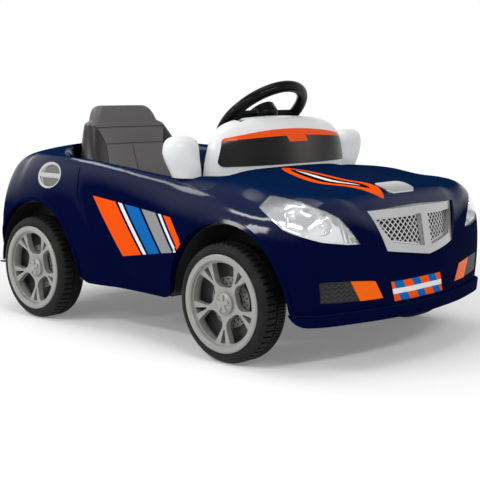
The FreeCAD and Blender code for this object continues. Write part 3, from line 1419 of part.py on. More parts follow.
def make_loom():
    turn_x = pedal_x + pedal_box_reach + pedal_box_width / 2
    start = V(battery_x + battery_length / 2, loom_y, loom_height)
    bend = V(turn_x - loom_bend, loom_y, loom_height)
    after = V(turn_x, loom_y - loom_bend, loom_height)
    end = V(turn_x, pedal_y + pedal_box_width / 2, loom_height)
    knee = math.sqrt(0.5) * loom_bend
    middle = V(turn_x - loom_bend + knee, loom_y - loom_bend + knee, loom_height)
    path = Part.Wire([Part.LineSegment(start, bend).toShape(), Part.Arc(bend, middle, after).toShape(),
                      Part.LineSegment(after, end).toShape()])
    ring = Part.Wire([Part.makeCircle(loom_radius, start, V(1, 0, 0))])
    lead = path.makePipeShell([ring], True, True)
    motor_end = V(loom_motor_x, motor_length - gearbox_outer + gearbox_width, loom_motor_z)
    battery_end = V(loom_motor_x, -battery_width / 2, loom_motor_z)
    nodes["wiring_loom"] = Part.makeCompound([lead, rod(loom_radius, battery_end, motor_end)])


def make_badge():
    plate_box = box(badge_x - badge_length / 2, badge_x + badge_length / 2, -badge_width / 2,
                    badge_width / 2, 0, far)
    upright = [e for e in plate_box.Edges if e.BoundBox.ZLength > length / 2]
    oblong = plate_box.makeFillet(badge_corner, upright)
    nodes["bonnet_badge"] = oblong.common(skin(badge_proud)).cut(skin(run_gap))


nodes["body_shell"] = make_body()
make_lamps()
make_grille()
make_cowl()
make_mirrors()
make_seat()
make_pan()
make_steering()
make_wheels()
make_drive()
make_controls()
make_loom()
make_badge()

os.makedirs("parts", exist_ok=True)
for name, shape in nodes.items():
    if len(shape.Solids) == 1:
        shape = shape.Solids[0]
    shape.exportStep("parts/" + name + ".step")
    print(name, len(shape.Solids), shape.isValid(), round(shape.Volume))
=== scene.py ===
"""Looks of a child's electric ride-on car: mouldings, lamps, wheels, seat and studio."""

from __future__ import annotations

import json
import logging
import math
from dataclasses import dataclass, field
from enum import Enum
from typing import Any, Iterable, Sequence

import bmesh
import bpy
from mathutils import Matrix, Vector

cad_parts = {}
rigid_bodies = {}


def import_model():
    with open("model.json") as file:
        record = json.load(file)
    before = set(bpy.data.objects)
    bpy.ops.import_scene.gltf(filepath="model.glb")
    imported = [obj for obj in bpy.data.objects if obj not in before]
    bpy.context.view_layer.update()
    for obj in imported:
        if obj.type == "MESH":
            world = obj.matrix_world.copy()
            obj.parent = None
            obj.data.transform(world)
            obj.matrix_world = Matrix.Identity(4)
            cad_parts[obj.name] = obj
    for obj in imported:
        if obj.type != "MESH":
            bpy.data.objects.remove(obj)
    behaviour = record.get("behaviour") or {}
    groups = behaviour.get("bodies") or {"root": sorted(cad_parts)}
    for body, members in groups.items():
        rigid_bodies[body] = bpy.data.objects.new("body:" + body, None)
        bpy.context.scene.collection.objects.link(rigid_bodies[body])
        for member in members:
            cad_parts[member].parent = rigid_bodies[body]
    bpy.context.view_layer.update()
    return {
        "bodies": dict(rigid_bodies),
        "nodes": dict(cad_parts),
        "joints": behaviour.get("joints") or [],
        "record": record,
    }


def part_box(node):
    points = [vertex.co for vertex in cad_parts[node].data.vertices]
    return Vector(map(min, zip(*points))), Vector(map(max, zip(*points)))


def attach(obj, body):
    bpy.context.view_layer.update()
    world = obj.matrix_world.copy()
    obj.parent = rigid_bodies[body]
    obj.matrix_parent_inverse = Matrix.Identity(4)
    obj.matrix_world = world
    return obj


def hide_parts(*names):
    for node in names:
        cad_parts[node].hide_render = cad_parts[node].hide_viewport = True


LOG = logging.getLogger("ride_on_car")
Colour = tuple[float, float, float]
Point = tuple[float, float, float]
WHITE: Colour = (1.0, 1.0, 1.0)
# Widths over which the edge of a colour fades, in metres.
FINE_EDGE, PRINT_EDGE, SOFT_EDGE = 0.0006, 0.0008, 0.004


class Side(Enum):
    """Left or right side of the car, as the sign of its Y."""

    LEFT = 1
    RIGHT = -1


class Corner(Enum):
    """A wheel's corner, named as its body is."""

    FRONT_LEFT = "front_left"
    FRONT_RIGHT = "front_right"
    REAR_LEFT = "rear_left"
    REAR_RIGHT = "rear_right"

    @property
    def side(self) -> Side:
        """The side of the car that this wheel is on."""
        return Side.LEFT if self.value.endswith("left") else Side.RIGHT

    @property
    def is_front(self) -> bool:
        """Whether this wheel steers."""
        return self.value.startswith("front")

    @property
    def body(self) -> str:
        """The body that this wheel turns with."""
        return self.value + "_wheel"


class Sock:
    """A shader socket that takes part in Python sums."""

    def __init__(self, recipe: Recipe, socket: bpy.types.NodeSocket) -> None:
        """Wraps one output socket.

        Args:
            recipe: The node tree that the socket belongs to.
            socket: The output socket.
        """
        self.recipe = recipe
        self.socket = socket

    def _sum(self, operation: str, other: Any, swapped: bool = False, clamp: bool = False) -> Sock:
        """Adds a Math node.

        Args:
            operation: The Math node's operation.
            other: A number or another Sock.
            swapped: Whether this socket comes second.
            clamp: Whether the result is held between 0 and 1.

        Returns:
            The node's result.
        """
        first, second = (other, self) if swapped else (self, other)
        settings = {"operation": operation, "use_clamp": clamp}
        return self.recipe.out("ShaderNodeMath", settings, {0: first, 1: second})

    def __add__(self, other: Any) -> Sock:
        """This plus other."""
        return self._sum("ADD", other)

    def __radd__(self, other: Any) -> Sock:
        """Other plus this."""
        return self._sum("ADD", other, True)

    def __sub__(self, other: Any) -> Sock:
        """This minus other."""
        return self._sum("SUBTRACT", other)

    def __rsub__(self, other: Any) -> Sock:
        """Other minus this."""
        return self._sum("SUBTRACT", other, True)

    def __mul__(self, other: Any) -> Sock:
        """This times other."""
        return self._sum("MULTIPLY", other)

    def __rmul__(self, other: Any) -> Sock:
        """Other times this."""
        return self._sum("MULTIPLY", other, True)

    def __truediv__(self, other: Any) -> Sock:
        """This over other."""
        return self._sum("DIVIDE", other)

    def __pow__(self, other: Any) -> Sock:
        """This to a power."""
        return self._sum("POWER", other)

    def __abs__(self) -> Sock:
        """The size of this, without its sign."""
        return self._sum("ABSOLUTE", 0.0)

    def most(self, other: Any) -> Sock:
        """The larger of this and other."""
        return self._sum("MAXIMUM", other)

    def wave(self) -> Sock:
        """The sine of this."""
        return self._sum("SINE", 0.0)

    def saw(self) -> Sock:
        """What is left of this after its whole part."""
        return self._sum("FRACT", 0.0)

    def held(self) -> Sock:
        """This, held between 0 and 1."""
        return self._sum("ADD", 0.0, clamp=True)

    def over(self, edge: Any, soft: float) -> Sock:
        """A mask of where this is over an edge.

        Args:
            edge: The value at the middle of the edge.
            soft: The width over which the mask rises.

        Returns:
            A mask from 0 to 1.
        """
        return ((self - edge) / soft + 0.5).held()


class Recipe:
    """The node tree of one material or of the world."""

    def __init__(self, owner: bpy.types.Material | bpy.types.World) -> None:
        """Starts an empty tree.

        Args:
            owner: The material or the world that the tree belongs to.
        """
        self.owner = owner
        owner.use_nodes = True
        self.tree = owner.node_tree
        self.tree.nodes.clear()

    def node(self, kind: str, settings: dict[str, Any] | None = None,
             inputs: dict[str | int, Any] | None = None) -> bpy.types.Node:
        """Adds one node.

        Args:
            kind: The node's type.
            settings: Its settings, which are set first.
            inputs: Values or links of its sockets, by name or place.

        Returns:
            The new node.
        """
        made = self.tree.nodes.new(kind)
        for key, value in (settings or {}).items():
            setattr(made, key, value)
        for key, value in (inputs or {}).items():
            socket = made.inputs[key]
            if isinstance(value, Sock):
                self.tree.links.new(value.socket, socket)
            elif isinstance(value, bpy.types.NodeSocket):
                self.tree.links.new(value, socket)
            elif isinstance(value, tuple) and socket.type == "RGBA" and len(value) == 3:
                socket.default_value = (*value, 1.0)
            else:
                socket.default_value = value
        return made

    def out(self, kind: str, settings: dict[str, Any] | None = None,
            inputs: dict[str | int, Any] | None = None, place: int | str = 0) -> Sock:
        """Adds one node and gives one of its outputs.

        Args:
            kind: The node's type.
            settings: Its settings.
            inputs: Values or links of its sockets.
            place: Which output is given.

        Returns:
            The output.
        """
        return Sock(self, self.node(kind, settings, inputs).outputs[place])

    def parts(self, vector: Sock) -> tuple[Sock, Sock, Sock]:
        """The X, Y and Z of a vector."""
        x, y, z = self.node("ShaderNodeSeparateXYZ", None, {0: vector}).outputs
        return Sock(self, x), Sock(self, y), Sock(self, z)

    def spot(self) -> Sock:
        """A point in the car's frame."""
        return self.out("ShaderNodeTexCoord", place="Object")

    def place(self) -> tuple[Sock, Sock, Sock]:
        """The X, Y and Z of a point in the car's frame."""
        return self.parts(self.spot())

    def facing(self) -> tuple[Sock, Sock, Sock]:
        """The X, Y and Z of the surface's direction."""
        return self.parts(self.out("ShaderNodeTexCoord", place="Normal"))

    def noise(self, scale: float, detail: float = 3.0) -> Sock:
        """Smooth noise in the car's frame.

        Args:
            scale: Cells to a metre.
            detail: Octaves.

        Returns:
            Noise about one half.
        """
        inputs = {"Vector": self.spot(), "Scale": scale, "Detail": detail}
        return self.out("ShaderNodeTexNoise", None, inputs)

    def mix(self, mask: Any, low: Any, high: Any) -> Sock:
        """A colour that goes from one to another.

        Args:
            mask: 0 for the first colour, 1 for the second.
            low: The first colour.
            high: The second colour.

        Returns:
            The mixed colour.
        """
        return self.out("ShaderNodeMix", {"data_type": "RGBA"}, {0: mask, 6: low, 7: high}, 2)

    def bump(self, height: Sock, depth: float) -> Sock:
        """A bumped normal.

        Args:
            height: The height over the surface, 0 to 1.
            depth: How far 1 stands, in metres.

        Returns:
            The normal.
        """
        return self.out("ShaderNodeBump", None, {"Height": height, "Distance": depth, "Strength": 1.0})

    def finish(self, **sockets: Any) -> bpy.types.Material:
        """Ends the tree in a shader.

        Args:
            sockets: The shader's sockets, with _ for a space.

        Returns:
            The material.
        """
        inputs = {key.replace("_", " "): value for key, value in sockets.items()}
        shader = self.node("ShaderNodeBsdfPrincipled", None, inputs)
        self.node("ShaderNodeOutputMaterial", None, {0: shader.outputs[0]})
        return self.owner


@dataclass(frozen=True)
class Moulding:
    """A moulded plastic with a fine grain and a slight unevenness of colour."""

    name: str
    colour: Colour
    roughness: float = 0.3
    grain: float = 900.0
    depth: float = 0.00004
    mottle: float = 0.12
    metallic: float = 0.0
    specular: float = 0.5
    tint: Colour = WHITE
    coat: float = 0.0
    coat_roughness: float = 0.09
    mottle_scale: float = 14.0
    wear_scale: float = 5.0

    def colours(self, recipe: Recipe) -> Sock:
        """The finish's colour over the surface.

        Args:
            recipe: The tree to add to.

        Returns:
            A colour socket.
        """
        uneven = recipe.noise(self.mottle_scale)
        dark = tuple(c * (1 - self.mottle) for c in self.colour)
        light = tuple(min(1.0, c * (1 + self.mottle)) for c in self.colour)
        return recipe.mix(uneven, dark, light)

    def relief(self, recipe: Recipe) -> Sock:
        """The height of the grain, 0 to 1.

        Args:
            recipe: The tree to add to.

        Returns:
            A height socket.
        """
        return recipe.noise(self.grain, 2.0)

    def gloss(self, recipe: Recipe) -> Sock | float:
        """The weight of the clear gloss over the colour.

        Args:
            recipe: The tree to add to.

        Returns:
            A weight from 0 to 1.
        """
        return self.coat

    def make(self) -> bpy.types.Material:
        """The material of this finish."""
        recipe = Recipe(bpy.data.materials.new(self.name))
        handled = recipe.noise(self.wear_scale)
        rough = handled * (self.roughness * 0.5) + self.roughness * 0.75
        return recipe.finish(
            Base_Color=self.colours(recipe), Roughness=rough, Metallic=self.metallic,
            Specular_IOR_Level=self.specular, Specular_Tint=(*self.tint, 1.0),
            Coat_Weight=self.gloss(recipe), Coat_Roughness=self.coat_roughness, Coat_Tint=(*self.tint, 1.0),
            Normal=recipe.bump(self.relief(recipe), self.depth))


@dataclass(frozen=True)
class Blade:
    """A tapered printed stripe between two points of a plane."""

    start: tuple[float, float]
    end: tuple[float, float]
    half: float
    colour: Colour
    fade: float = 0.7
    tip: float = 0.0006

    def mask(self, along: Sock, across: Sock) -> Sock:
        """Where the stripe is.

        Args:
            along: The coordinate that runs with the stripe.
            across: The coordinate that runs over it.

        Returns:
            A mask from 0 to 1.
        """
        share = ((along - self.start[0]) / (self.end[0] - self.start[0])).held()
        rest = 1.0 - share
        middle = share * (self.end[1] - self.start[1]) + self.start[1]
        half = ((share * rest * 4.0) ** self.fade) * self.half - self.tip
        return (half - abs(across - middle)).over(0.0, PRINT_EDGE)


@dataclass(frozen=True)
class Stripe:
    """A slanted printed stripe on a door, by its rear and front edges."""

    rear: float
    front: float
    colour: Colour

    def mask(self, along: Sock) -> Sock:
        """Where the stripe is.

        Args:
            along: The slanted coordinate that runs over the stripes.

        Returns:
            A mask from 0 to 1.
        """
        return along.over(self.rear, PRINT_EDGE) * (self.front - along).over(0.0, PRINT_EDGE)


@dataclass(frozen=True)
class BodyFinish(Moulding):
    """The deep blue gloss of the body, with its printed stripes, a painted sheen on the faces that look up
    and a patch of painted shade under the dash cowl.
    """

    orange: Colour = (0.95, 0.095, 0.006)
    blue: Colour = (0.008, 0.14, 0.46)
    grey: Colour = (0.30, 0.30, 0.31)
    white: Colour = (0.84, 0.85, 0.87)
    black: Colour = (0.004, 0.004, 0.006)
    # Painted sheen: a paler teal-blue mixed into the paint on faces that look up, standing for the sky
    # reflected in the gloss.
    painted_sky_sheen: Colour = (0.0020, 0.0150, 0.0600)
    painted_sky_sheen_share: float = 0.9
    lean_from: float = 0.32
    lean_to: float = 0.82
    side_coat: float = 0.016
    least_coat: float = 0.004
    field_rear: float = -0.130
    field_top: float = 0.290
    field_fall: float = 0.10
    field_foot: float = 0.156
    field_climb: float = 0.16
    stripe_slant: float = 0.8
    slant_middle: float = 0.285
    bonnet_foot: float = 0.27
    # Centre and half sizes of the black patch of painted shade on the body under the switch opening in the
    # cowl.
    shaded_pocket: tuple[float, float] = (0.090, -0.118)
    shaded_pocket_half: tuple[float, float] = (0.035, 0.030)
    plate: tuple[float, float] = (-0.018, 0.140)
    plate_half: tuple[float, float] = (0.078, 0.019)
    plate_line: float = 0.005
    plate_blocks: float = 19.0

    def side_stripes(self) -> tuple[Stripe, ...]:
        """The stripes on a door."""
        return (
            Stripe(-0.130, -0.062, self.orange),
            Stripe(-0.054, -0.042, self.white),
            Stripe(-0.034, 0.008, self.blue),
            Stripe(0.016, 0.056, self.grey),
            Stripe(0.064, 0.073, self.white),
            Stripe(0.080, 0.100, self.orange),
        )

    def bonnet_blades(self) -> tuple[Blade, ...]:
        """The stripes on the bonnet."""
        return (
            Blade((0.196, -0.062), (0.464, -0.076), 0.046, self.orange),
            Blade((0.216, -0.060), (0.430, -0.074), 0.027, self.black),
            Blade((0.228, -0.058), (0.408, -0.073), 0.009, self.white),
        )

    def gloss(self, recipe: Recipe) -> Sock:
        """Most gloss where the surface leans back, least on the upright sides.

        Args:
            recipe: The tree to add to.

        Returns:
            A weight from 0 to 1.
        """
        _, _, face_z = recipe.facing()
        leaning = face_z.over(self.lean_from, 0.26) * (self.lean_to - face_z).over(0.0, 0.18)
        upright = (self.lean_to - face_z).over(0.0, 0.3)
        return leaning * self.coat + upright * self.side_coat + self.least_coat

    def colours(self, recipe: Recipe) -> Sock:
        """The blue, with a painted sheen on upward faces, painted shade under the switch opening in the
        cowl, and the stripes over it.

        Args:
            recipe: The tree to add to.

        Returns:
            A colour socket.
        """
        x, y, z = recipe.place()
        face_x, face_y, face_z = recipe.facing()
        # Painted sheen: faces that look up are mixed toward the paler teal-blue, as a reflection of the sky.
        paint = recipe.mix(face_z.over(0.62, 0.9) * self.painted_sky_sheen_share, Moulding.colours(self, recipe), self.painted_sky_sheen)
        outward = ((face_y * y) * 8.0).over(0.6, 0.2)
        slanted = x + (z - self.slant_middle) * self.stripe_slant
        back = x - self.field_rear
        field = ((back * -self.field_fall + self.field_top - z).over(0.0, PRINT_EDGE)
                 * (z - (back * self.field_climb + self.field_foot)).over(0.0, PRINT_EDGE))
        for stripe in self.side_stripes():
            paint = recipe.mix(stripe.mask(slanted) * field * outward, paint, stripe.colour)
        upward = face_z.over(0.55, 0.1) * z.over(self.bonnet_foot, 0.002)
        for blade in self.bonnet_blades():
            paint = recipe.mix(blade.mask(x, y) * upward, paint, blade.colour)
        # Painted shade: the body under the dash cowl round the switch opening is painted black, as the shade
        # inside the opening.
        shaded_pocket = ((self.shaded_pocket_half[0] - abs(x - self.shaded_pocket[0])).over(0.0, SOFT_EDGE)
                  * (self.shaded_pocket_half[1] - abs(y - self.shaded_pocket[1])).over(0.0, SOFT_EDGE))
        paint = recipe.mix(shaded_pocket, paint, self.black)
        forward = face_x.over(0.5, 0.1)
        up = z - self.plate[1]
        wide = (self.plate_half[0] - abs(y - self.plate[0] + up * 0.3)).over(0.0, PRINT_EDGE)
        tall = (self.plate_half[1] - abs(up)).over(0.0, PRINT_EDGE)
        plate = wide * tall * forward
        slant = (((y + z * 0.6) * self.plate_blocks).saw()).over(0.5, 0.02)
        paint = recipe.mix(plate, paint, recipe.mix(slant, self.blue, self.orange))
        line = (self.plate_line - abs(up)).over(0.0, FINE_EDGE) * plate
        return recipe.mix(line, paint, self.white)


@dataclass(frozen=True)
class ScreenFinish(Moulding):
    """The gloss black windscreen panel with painted reflection bands across its middle and a bright band
    along its top.
    """

    band: Colour = (0.95, 0.095, 0.006)
    # A paler grey for the painted reflection bands across the middle of the screen.
    pale: Colour = (0.085, 0.082, 0.076)
    crown: float = 0.433
    half: float = 0.187
    painted_reflection_turn: float = 26.0
    painted_reflection_start: float = 0.6
    band_bow: float = 0.0075
    band_deep: float = 0.0145
    tab_half: float = 0.030
    tab_deep: float = 0.027
    tab_slant: float = 0.45

    def colours(self, recipe: Recipe) -> Sock:
        """Black with paler bands of painted reflection, and the bright band over it.

        Args:
            recipe: The tree to add to.

        Returns:
            A colour socket.
        """
        _, y, z = recipe.place()
        # Painted reflection: soft paler bands across the middle, fading toward the ends, stand for the lamps
        # reflected in the curved screen.
        painted_reflection = ((y * self.painted_reflection_turn + self.painted_reflection_start).wave() * 0.5 + 0.5) ** 1.6
        middle = (1.0 - abs(y) / (self.half * 1.15)).held()
        black = recipe.mix(painted_reflection * middle, Moulding.colours(self, recipe), self.pale)
        bow = (y / self.half) ** 2.0
        band = (z - (bow * -self.band_bow + (self.crown - self.band_deep))).over(0.0, PRINT_EDGE)
        tab = ((self.tab_half - abs(y + (z - self.crown) * self.tab_slant)).over(0.0, PRINT_EDGE)
               * z.over(self.crown - self.tab_deep, PRINT_EDGE))
        return recipe.mix(band.most(tab), black, self.band)


@dataclass(frozen=True)
class ReflectorFinish(Moulding):
    """Bright metallised reflector with flutes."""

    flutes: float = 560.0
    flute_half: float = 0.205
    ripple: float = 18.0

    def relief(self, recipe: Recipe) -> Sock:
        """Upright flutes over the reflector.

        Args:
            recipe: The tree to add to.

        Returns:
            A height socket.
        """
        x, y, z = recipe.place()
        fluted = (self.flute_half - abs(y)).over(0.0, SOFT_EDGE)
        return ((x - abs(y) + z * 0.4) * self.flutes).wave() * fluted * 0.5 + recipe.noise(self.ripple)


@dataclass(frozen=True)
class LensFinish:
    """A clear lens."""

    name: str
    colour: Colour
    alpha: float
    roughness: float = 0.03
    ripple: float = 24.0
    depth: float = 0.0002

    def make(self) -> bpy.types.Material:
        """The material of this finish."""
        recipe = Recipe(bpy.data.materials.new(self.name))
        ripple = recipe.noise(self.ripple)
        return recipe.finish(
            Base_Color=recipe.mix(ripple, self.colour, WHITE), Roughness=self.roughness, Alpha=self.alpha,
            Specular_IOR_Level=0.5, Normal=recipe.bump(ripple, self.depth))


@dataclass(frozen=True)
class SeatFinish(Moulding):
    """Satin grey seat moulding: pale panels between darker bolsters."""

    bolster: Colour = (0.028, 0.025, 0.026)
    upper: Colour = (0.120, 0.110, 0.114)
    panel_half: float = 0.103
    panel_split: float = 0.386
    waist_foot: float = 0.300
    waist_rise: float = 0.085
    waist_in: float = 0.011
    flare_foot: float = 0.385
    flare_rise: float = 0.039
    flare_out: float = 0.015
    bolster_top: float = 0.430

    def colours(self, recipe: Recipe) -> Sock:
        """The panels' greys, with the bolsters round them.

        Args:
            recipe: The tree to add to.

        Returns:
            A colour socket.
        """
        _, y, z = recipe.place()
        panel = recipe.mix(z.over(self.panel_split, 0.003), Moulding.colours(self, recipe), self.upper)
        drawn_in = ((z - self.waist_foot) / self.waist_rise).held() * -self.waist_in
        flared = ((z - self.flare_foot) / self.flare_rise).held() * self.flare_out
        wide = (abs(y) - (drawn_in + flared + self.panel_half)).over(0.0, SOFT_EDGE)
        side = wide * (self.bolster_top - z).over(0.0, SOFT_EDGE)
        return recipe.mix(side, panel, self.bolster)


@dataclass(frozen=True)
class TyreFinish(Moulding):
    """Matt black tyre with a trace of dust."""

    dust: Colour = (0.030, 0.029, 0.027)
    dust_share: float = 0.5
    patch_scale: float = 35.0
    patch_edge: float = 0.62

    def colours(self, recipe: Recipe) -> Sock:
        """Black with dust in patches.

        Args:
            recipe: The tree to add to.

        Returns:
            A colour socket.
        """
        patches = recipe.noise(self.patch_scale, 5.0).over(self.patch_edge, 0.3)
        return recipe.mix(patches * self.dust_share, self.colour, self.dust)


@dataclass(frozen=True)
class RimFinish(Moulding):
    """Silver spokes with painted shade behind them: the recess and its inner wall painted dark, and a grey
    disc at the centre.
    """

    # Dark grey painted as the shade in the recess behind the spokes and on its inner wall.
    shaded_barrel: Colour = (0.050, 0.050, 0.050)
    disc: Colour = (0.20, 0.20, 0.195)
    middle: float = -0.032
    half_base: float = 0.300
    axle: float = 0.115
    out: float = 0.284
    spoke_back: float = 0.0045
    wall: tuple[float, float] = (0.0800, 0.0815)
    wall_out: float = 0.0235
    disc_radius: float = 0.0500

    def colours(self, recipe: Recipe) -> Sock:
        """Silver, with painted shade behind the spokes.

        Args:
            recipe: The tree to add to.

        Returns:
            A colour socket.
        """
        x, y, z = recipe.place()
        face = abs(y) - self.out
        along = abs(x - self.middle) - self.half_base
        up = z - self.axle
        radius = (along * along + up * up) ** 0.5
        # Painted shade: the floor behind the spokes and the inner wall of the rim are painted dark, with a
        # grey disc at the centre.
        behind = (self.spoke_back - face).over(0.0, 0.002)
        ring = radius.over(self.wall[0], FINE_EDGE) * (self.wall[1] - radius).over(0.0, FINE_EDGE)
        wall = ring * (self.wall_out - face).over(0.0, 0.002)
        silver = Moulding.colours(self, recipe)
        plate = (self.disc_radius - radius).over(0.0, FINE_EDGE) * face.over(0.0, 0.001)
        deep = recipe.mix(plate, self.shaded_barrel, self.disc)
        return recipe.mix(behind.most(wall), silver, deep)


@dataclass(frozen=True)
class CapFinish(Moulding):
    """A silver filler cap with painted shade in the recess round its bar."""

    # Grey painted as the shade in the cap's recess.
    shaded_dish: Colour = (0.17, 0.17, 0.17)
    centre: tuple[float, float] = (-0.285, 0.325)
    half: tuple[float, float] = (0.041, 0.030)
    shaded_dish_half: float = 0.80
    bar_half: float = 0.17

    def colours(self, recipe: Recipe) -> Sock:
        """Silver, with painted shade in the recess.

        Args:
            recipe: The tree to add to.

        Returns:
            A colour socket.
        """
        x, _, z = recipe.place()
        along = (x - self.centre[0]) / self.half[0]
        up = (z - self.centre[1]) / self.half[1]
        # Painted shade: the recess round the bar is painted darker, where shade falls.
        inside = (self.shaded_dish_half - (along * along + up * up) ** 0.5).over(0.0, 0.04)
        bar = (self.bar_half - abs(up)).over(0.0, 0.03)
        return recipe.mix(inside * (1.0 - bar), Moulding.colours(self, recipe), self.shaded_dish)


class Finishes(Enum):
    """Every finish of the car."""

    BODY = BodyFinish("deep_blue_gloss", (0.0006, 0.0024, 0.0290), roughness=0.13, grain=60.0,
                      depth=0.00003, mottle=0.1, specular=0.0, tint=(0.45, 0.72, 1.0), coat=0.8)
    WHITE = Moulding("white_gloss", (0.82, 0.83, 0.84), roughness=0.24, grain=500.0, depth=0.00002,
                     mottle=0.02)
    BLACK = Moulding("black_satin", (0.009, 0.009, 0.010), roughness=0.38, grain=1400.0, depth=0.00006,
                     mottle=0.2, specular=0.25)
    GLOSS_BLACK = Moulding("black_gloss", (0.004, 0.004, 0.004), roughness=0.20, grain=900.0, depth=0.00002,
                           mottle=0.2, specular=0.10)
    MESH_BLACK = Moulding("mesh_black", (0.022, 0.022, 0.023), roughness=0.34, grain=900.0, depth=0.00002,
                          mottle=0.2, specular=0.35)
    SILVER = Moulding("silver_plastic", (0.46, 0.46, 0.46), roughness=0.30, grain=900.0, depth=0.00002,
                      mottle=0.06, metallic=0.55)
    BRIGHT = Moulding("bright_silver", (0.52, 0.52, 0.52), roughness=0.22, grain=900.0, depth=0.00002,
                      mottle=0.06, metallic=0.75)
    CAP = CapFinish("cap_silver", (0.55, 0.55, 0.55), roughness=0.22, grain=900.0, depth=0.00002,
                    mottle=0.06, metallic=0.6)
    RIM = RimFinish("wheel_silver", (0.35, 0.348, 0.333), roughness=0.36, grain=900.0, depth=0.00003,
                    mottle=0.06, metallic=0.20, specular=0.4)
    SEAT = SeatFinish("seat_grey", (0.128, 0.120, 0.120), roughness=0.30, grain=700.0, depth=0.00006,
                      mottle=0.08, specular=0.35)
    TYRE = TyreFinish("tyre_black", (0.0085, 0.0085, 0.0085), roughness=0.55, grain=500.0, depth=0.00012,
                      mottle=0.2, specular=0.15)
    SCREEN = ScreenFinish("screen_black", (0.006, 0.006, 0.007), roughness=0.16, grain=300.0, depth=0.00001,
                          mottle=0.1, specular=0.12)
    ORANGE = Moulding("orange_gloss", (1.0, 0.14, 0.002), roughness=0.24, grain=500.0, depth=0.00003,
                      mottle=0.06, specular=0.08)
    RED = Moulding("red_lamp", (0.36, 0.004, 0.005), roughness=0.18, grain=300.0, depth=0.0001, mottle=0.1,
                   specular=0.12)
    REFLECTOR = ReflectorFinish("bright_reflector", (0.80, 0.81, 0.82), roughness=0.12, grain=70.0,
                                depth=0.0006, mottle=0.05, metallic=0.9)
    MIRROR = Moulding("mirror_foil", (0.8, 0.82, 0.84), roughness=0.05, grain=200.0, depth=0.00001,
                      mottle=0.02, metallic=1.0)
    STEEL = Moulding("plated_steel", (0.5, 0.51, 0.53), roughness=0.32, grain=1200.0, depth=0.00002,
                     mottle=0.1, metallic=1.0)
    RED_ROCKER = Moulding("rocker_red", (0.5, 0.02, 0.02), roughness=0.25, grain=700.0, depth=0.00002,
                          mottle=0.05)
    LENS = LensFinish("clear_lens", (0.93, 0.95, 0.97), alpha=0.10)


class Palette:
    """Makes each finish's material once."""

    def __init__(self) -> None:
        """Starts with none made."""
        self.made: dict[Finishes, bpy.types.Material] = {}

    def __getitem__(self, finish: Finishes) -> bpy.types.Material:
        """The material of a finish."""
        if finish not in self.made:
            self.made[finish] = finish.value.make()
        return self.made[finish]


class Growth:
    """A Geometry Nodes tree that ends as one plain mesh."""

    def __init__(self, name: str) -> None:
        """Starts an empty tree.

        Args:
            name: The tree's name.
        """
        self.name = name
        self.tree = bpy.data.node_groups.new(name, "GeometryNodeTree")
        self.tree.interface.new_socket("Geometry", in_out="OUTPUT", socket_type="NodeSocketGeometry")
        self.given = self.tree.nodes.new("NodeGroupInput")
        self.values: dict[str, Any] = {}

    def input(self, name: str, kind: str, value: Any) -> bpy.types.NodeSocket:
        """Adds a named input with the value that it is run with.

        Args:
            name: The input's name.
            kind: Its socket type, after NodeSocket.
            value: Its value.

        Returns:
            The socket that gives it inside the tree.
        """
        item = self.tree.interface.new_socket(name, in_out="INPUT", socket_type="NodeSocket" + kind)
        self.values[item.identifier] = value
        return next(s for s in self.given.outputs if s.identifier == item.identifier)

    def node(self, kind: str, settings: dict[str, Any] | None = None,
             inputs: dict[str | int, Any] | None = None) -> bpy.types.Node:
        """Adds one node.

        Args:
            kind: The node's type.
            settings: Its settings, which are set first.
            inputs: Values or links of its sockets, by name or place.

        Returns:
            The new node.
        """
        made = self.tree.nodes.new(kind)
        for key, value in (settings or {}).items():
            setattr(made, key, value)
        for key, value in (inputs or {}).items():
            if isinstance(value, bpy.types.NodeSocket):
                self.tree.links.new(value, made.inputs[key])
            else:
                made.inputs[key].default_value = value
        return made

    def bar(self, size: bpy.types.NodeSocket, turn: float, move: Point) -> bpy.types.NodeSocket:
        """A bar that is turned about X and moved.

        Args:
            size: Its three sizes.
            turn: The turn in degrees.
            move: How far it is moved.

        Returns:
            Its geometry.
        """
        bar = self.node("GeometryNodeMeshCube", None, {"Size": size})
        turned = self.node("GeometryNodeTransform", None, {
            "Geometry": bar.outputs["Mesh"], "Translation": move,
            "Rotation": (math.radians(turn), 0.0, 0.0)})
        return turned.outputs["Geometry"]

    def joined(self, *parts: bpy.types.NodeSocket) -> bpy.types.NodeSocket:
        """Several geometries as one."""
        join = self.node("GeometryNodeJoinGeometry")
        for part in parts:
            self.tree.links.new(part, join.inputs[0])
        return join.outputs[0]

    def mesh(self, geometry: bpy.types.NodeSocket, material: bpy.types.Material) -> bpy.types.Mesh:
        """Ends the tree and runs it.

        Args:
            geometry: What the tree has made.
            material: Its material.

        Returns:
            A plain mesh.
        """
        finish = self.input("Finish", "Material", material)
        real = self.node("GeometryNodeRealizeInstances", None, {0: geometry})
        dressed = self.node("GeometryNodeSetMaterial", None,
                            {"Geometry": real.outputs[0], "Material": finish})
        self.node("NodeGroupOutput", None, {0: dressed.outputs[0]})
        holder = bpy.data.objects.new(self.name, bpy.data.meshes.new(self.name))
        bpy.context.scene.collection.objects.link(holder)
        modifier = holder.modifiers.new(self.name, "NODES")
        modifier.node_group = self.tree
        for key, value in self.values.items():
            modifier[key] = value
        graph = bpy.context.evaluated_depsgraph_get()
        made = bpy.data.meshes.new_from_object(holder.evaluated_get(graph), depsgraph=graph)
        bpy.data.objects.remove(holder)
        return made


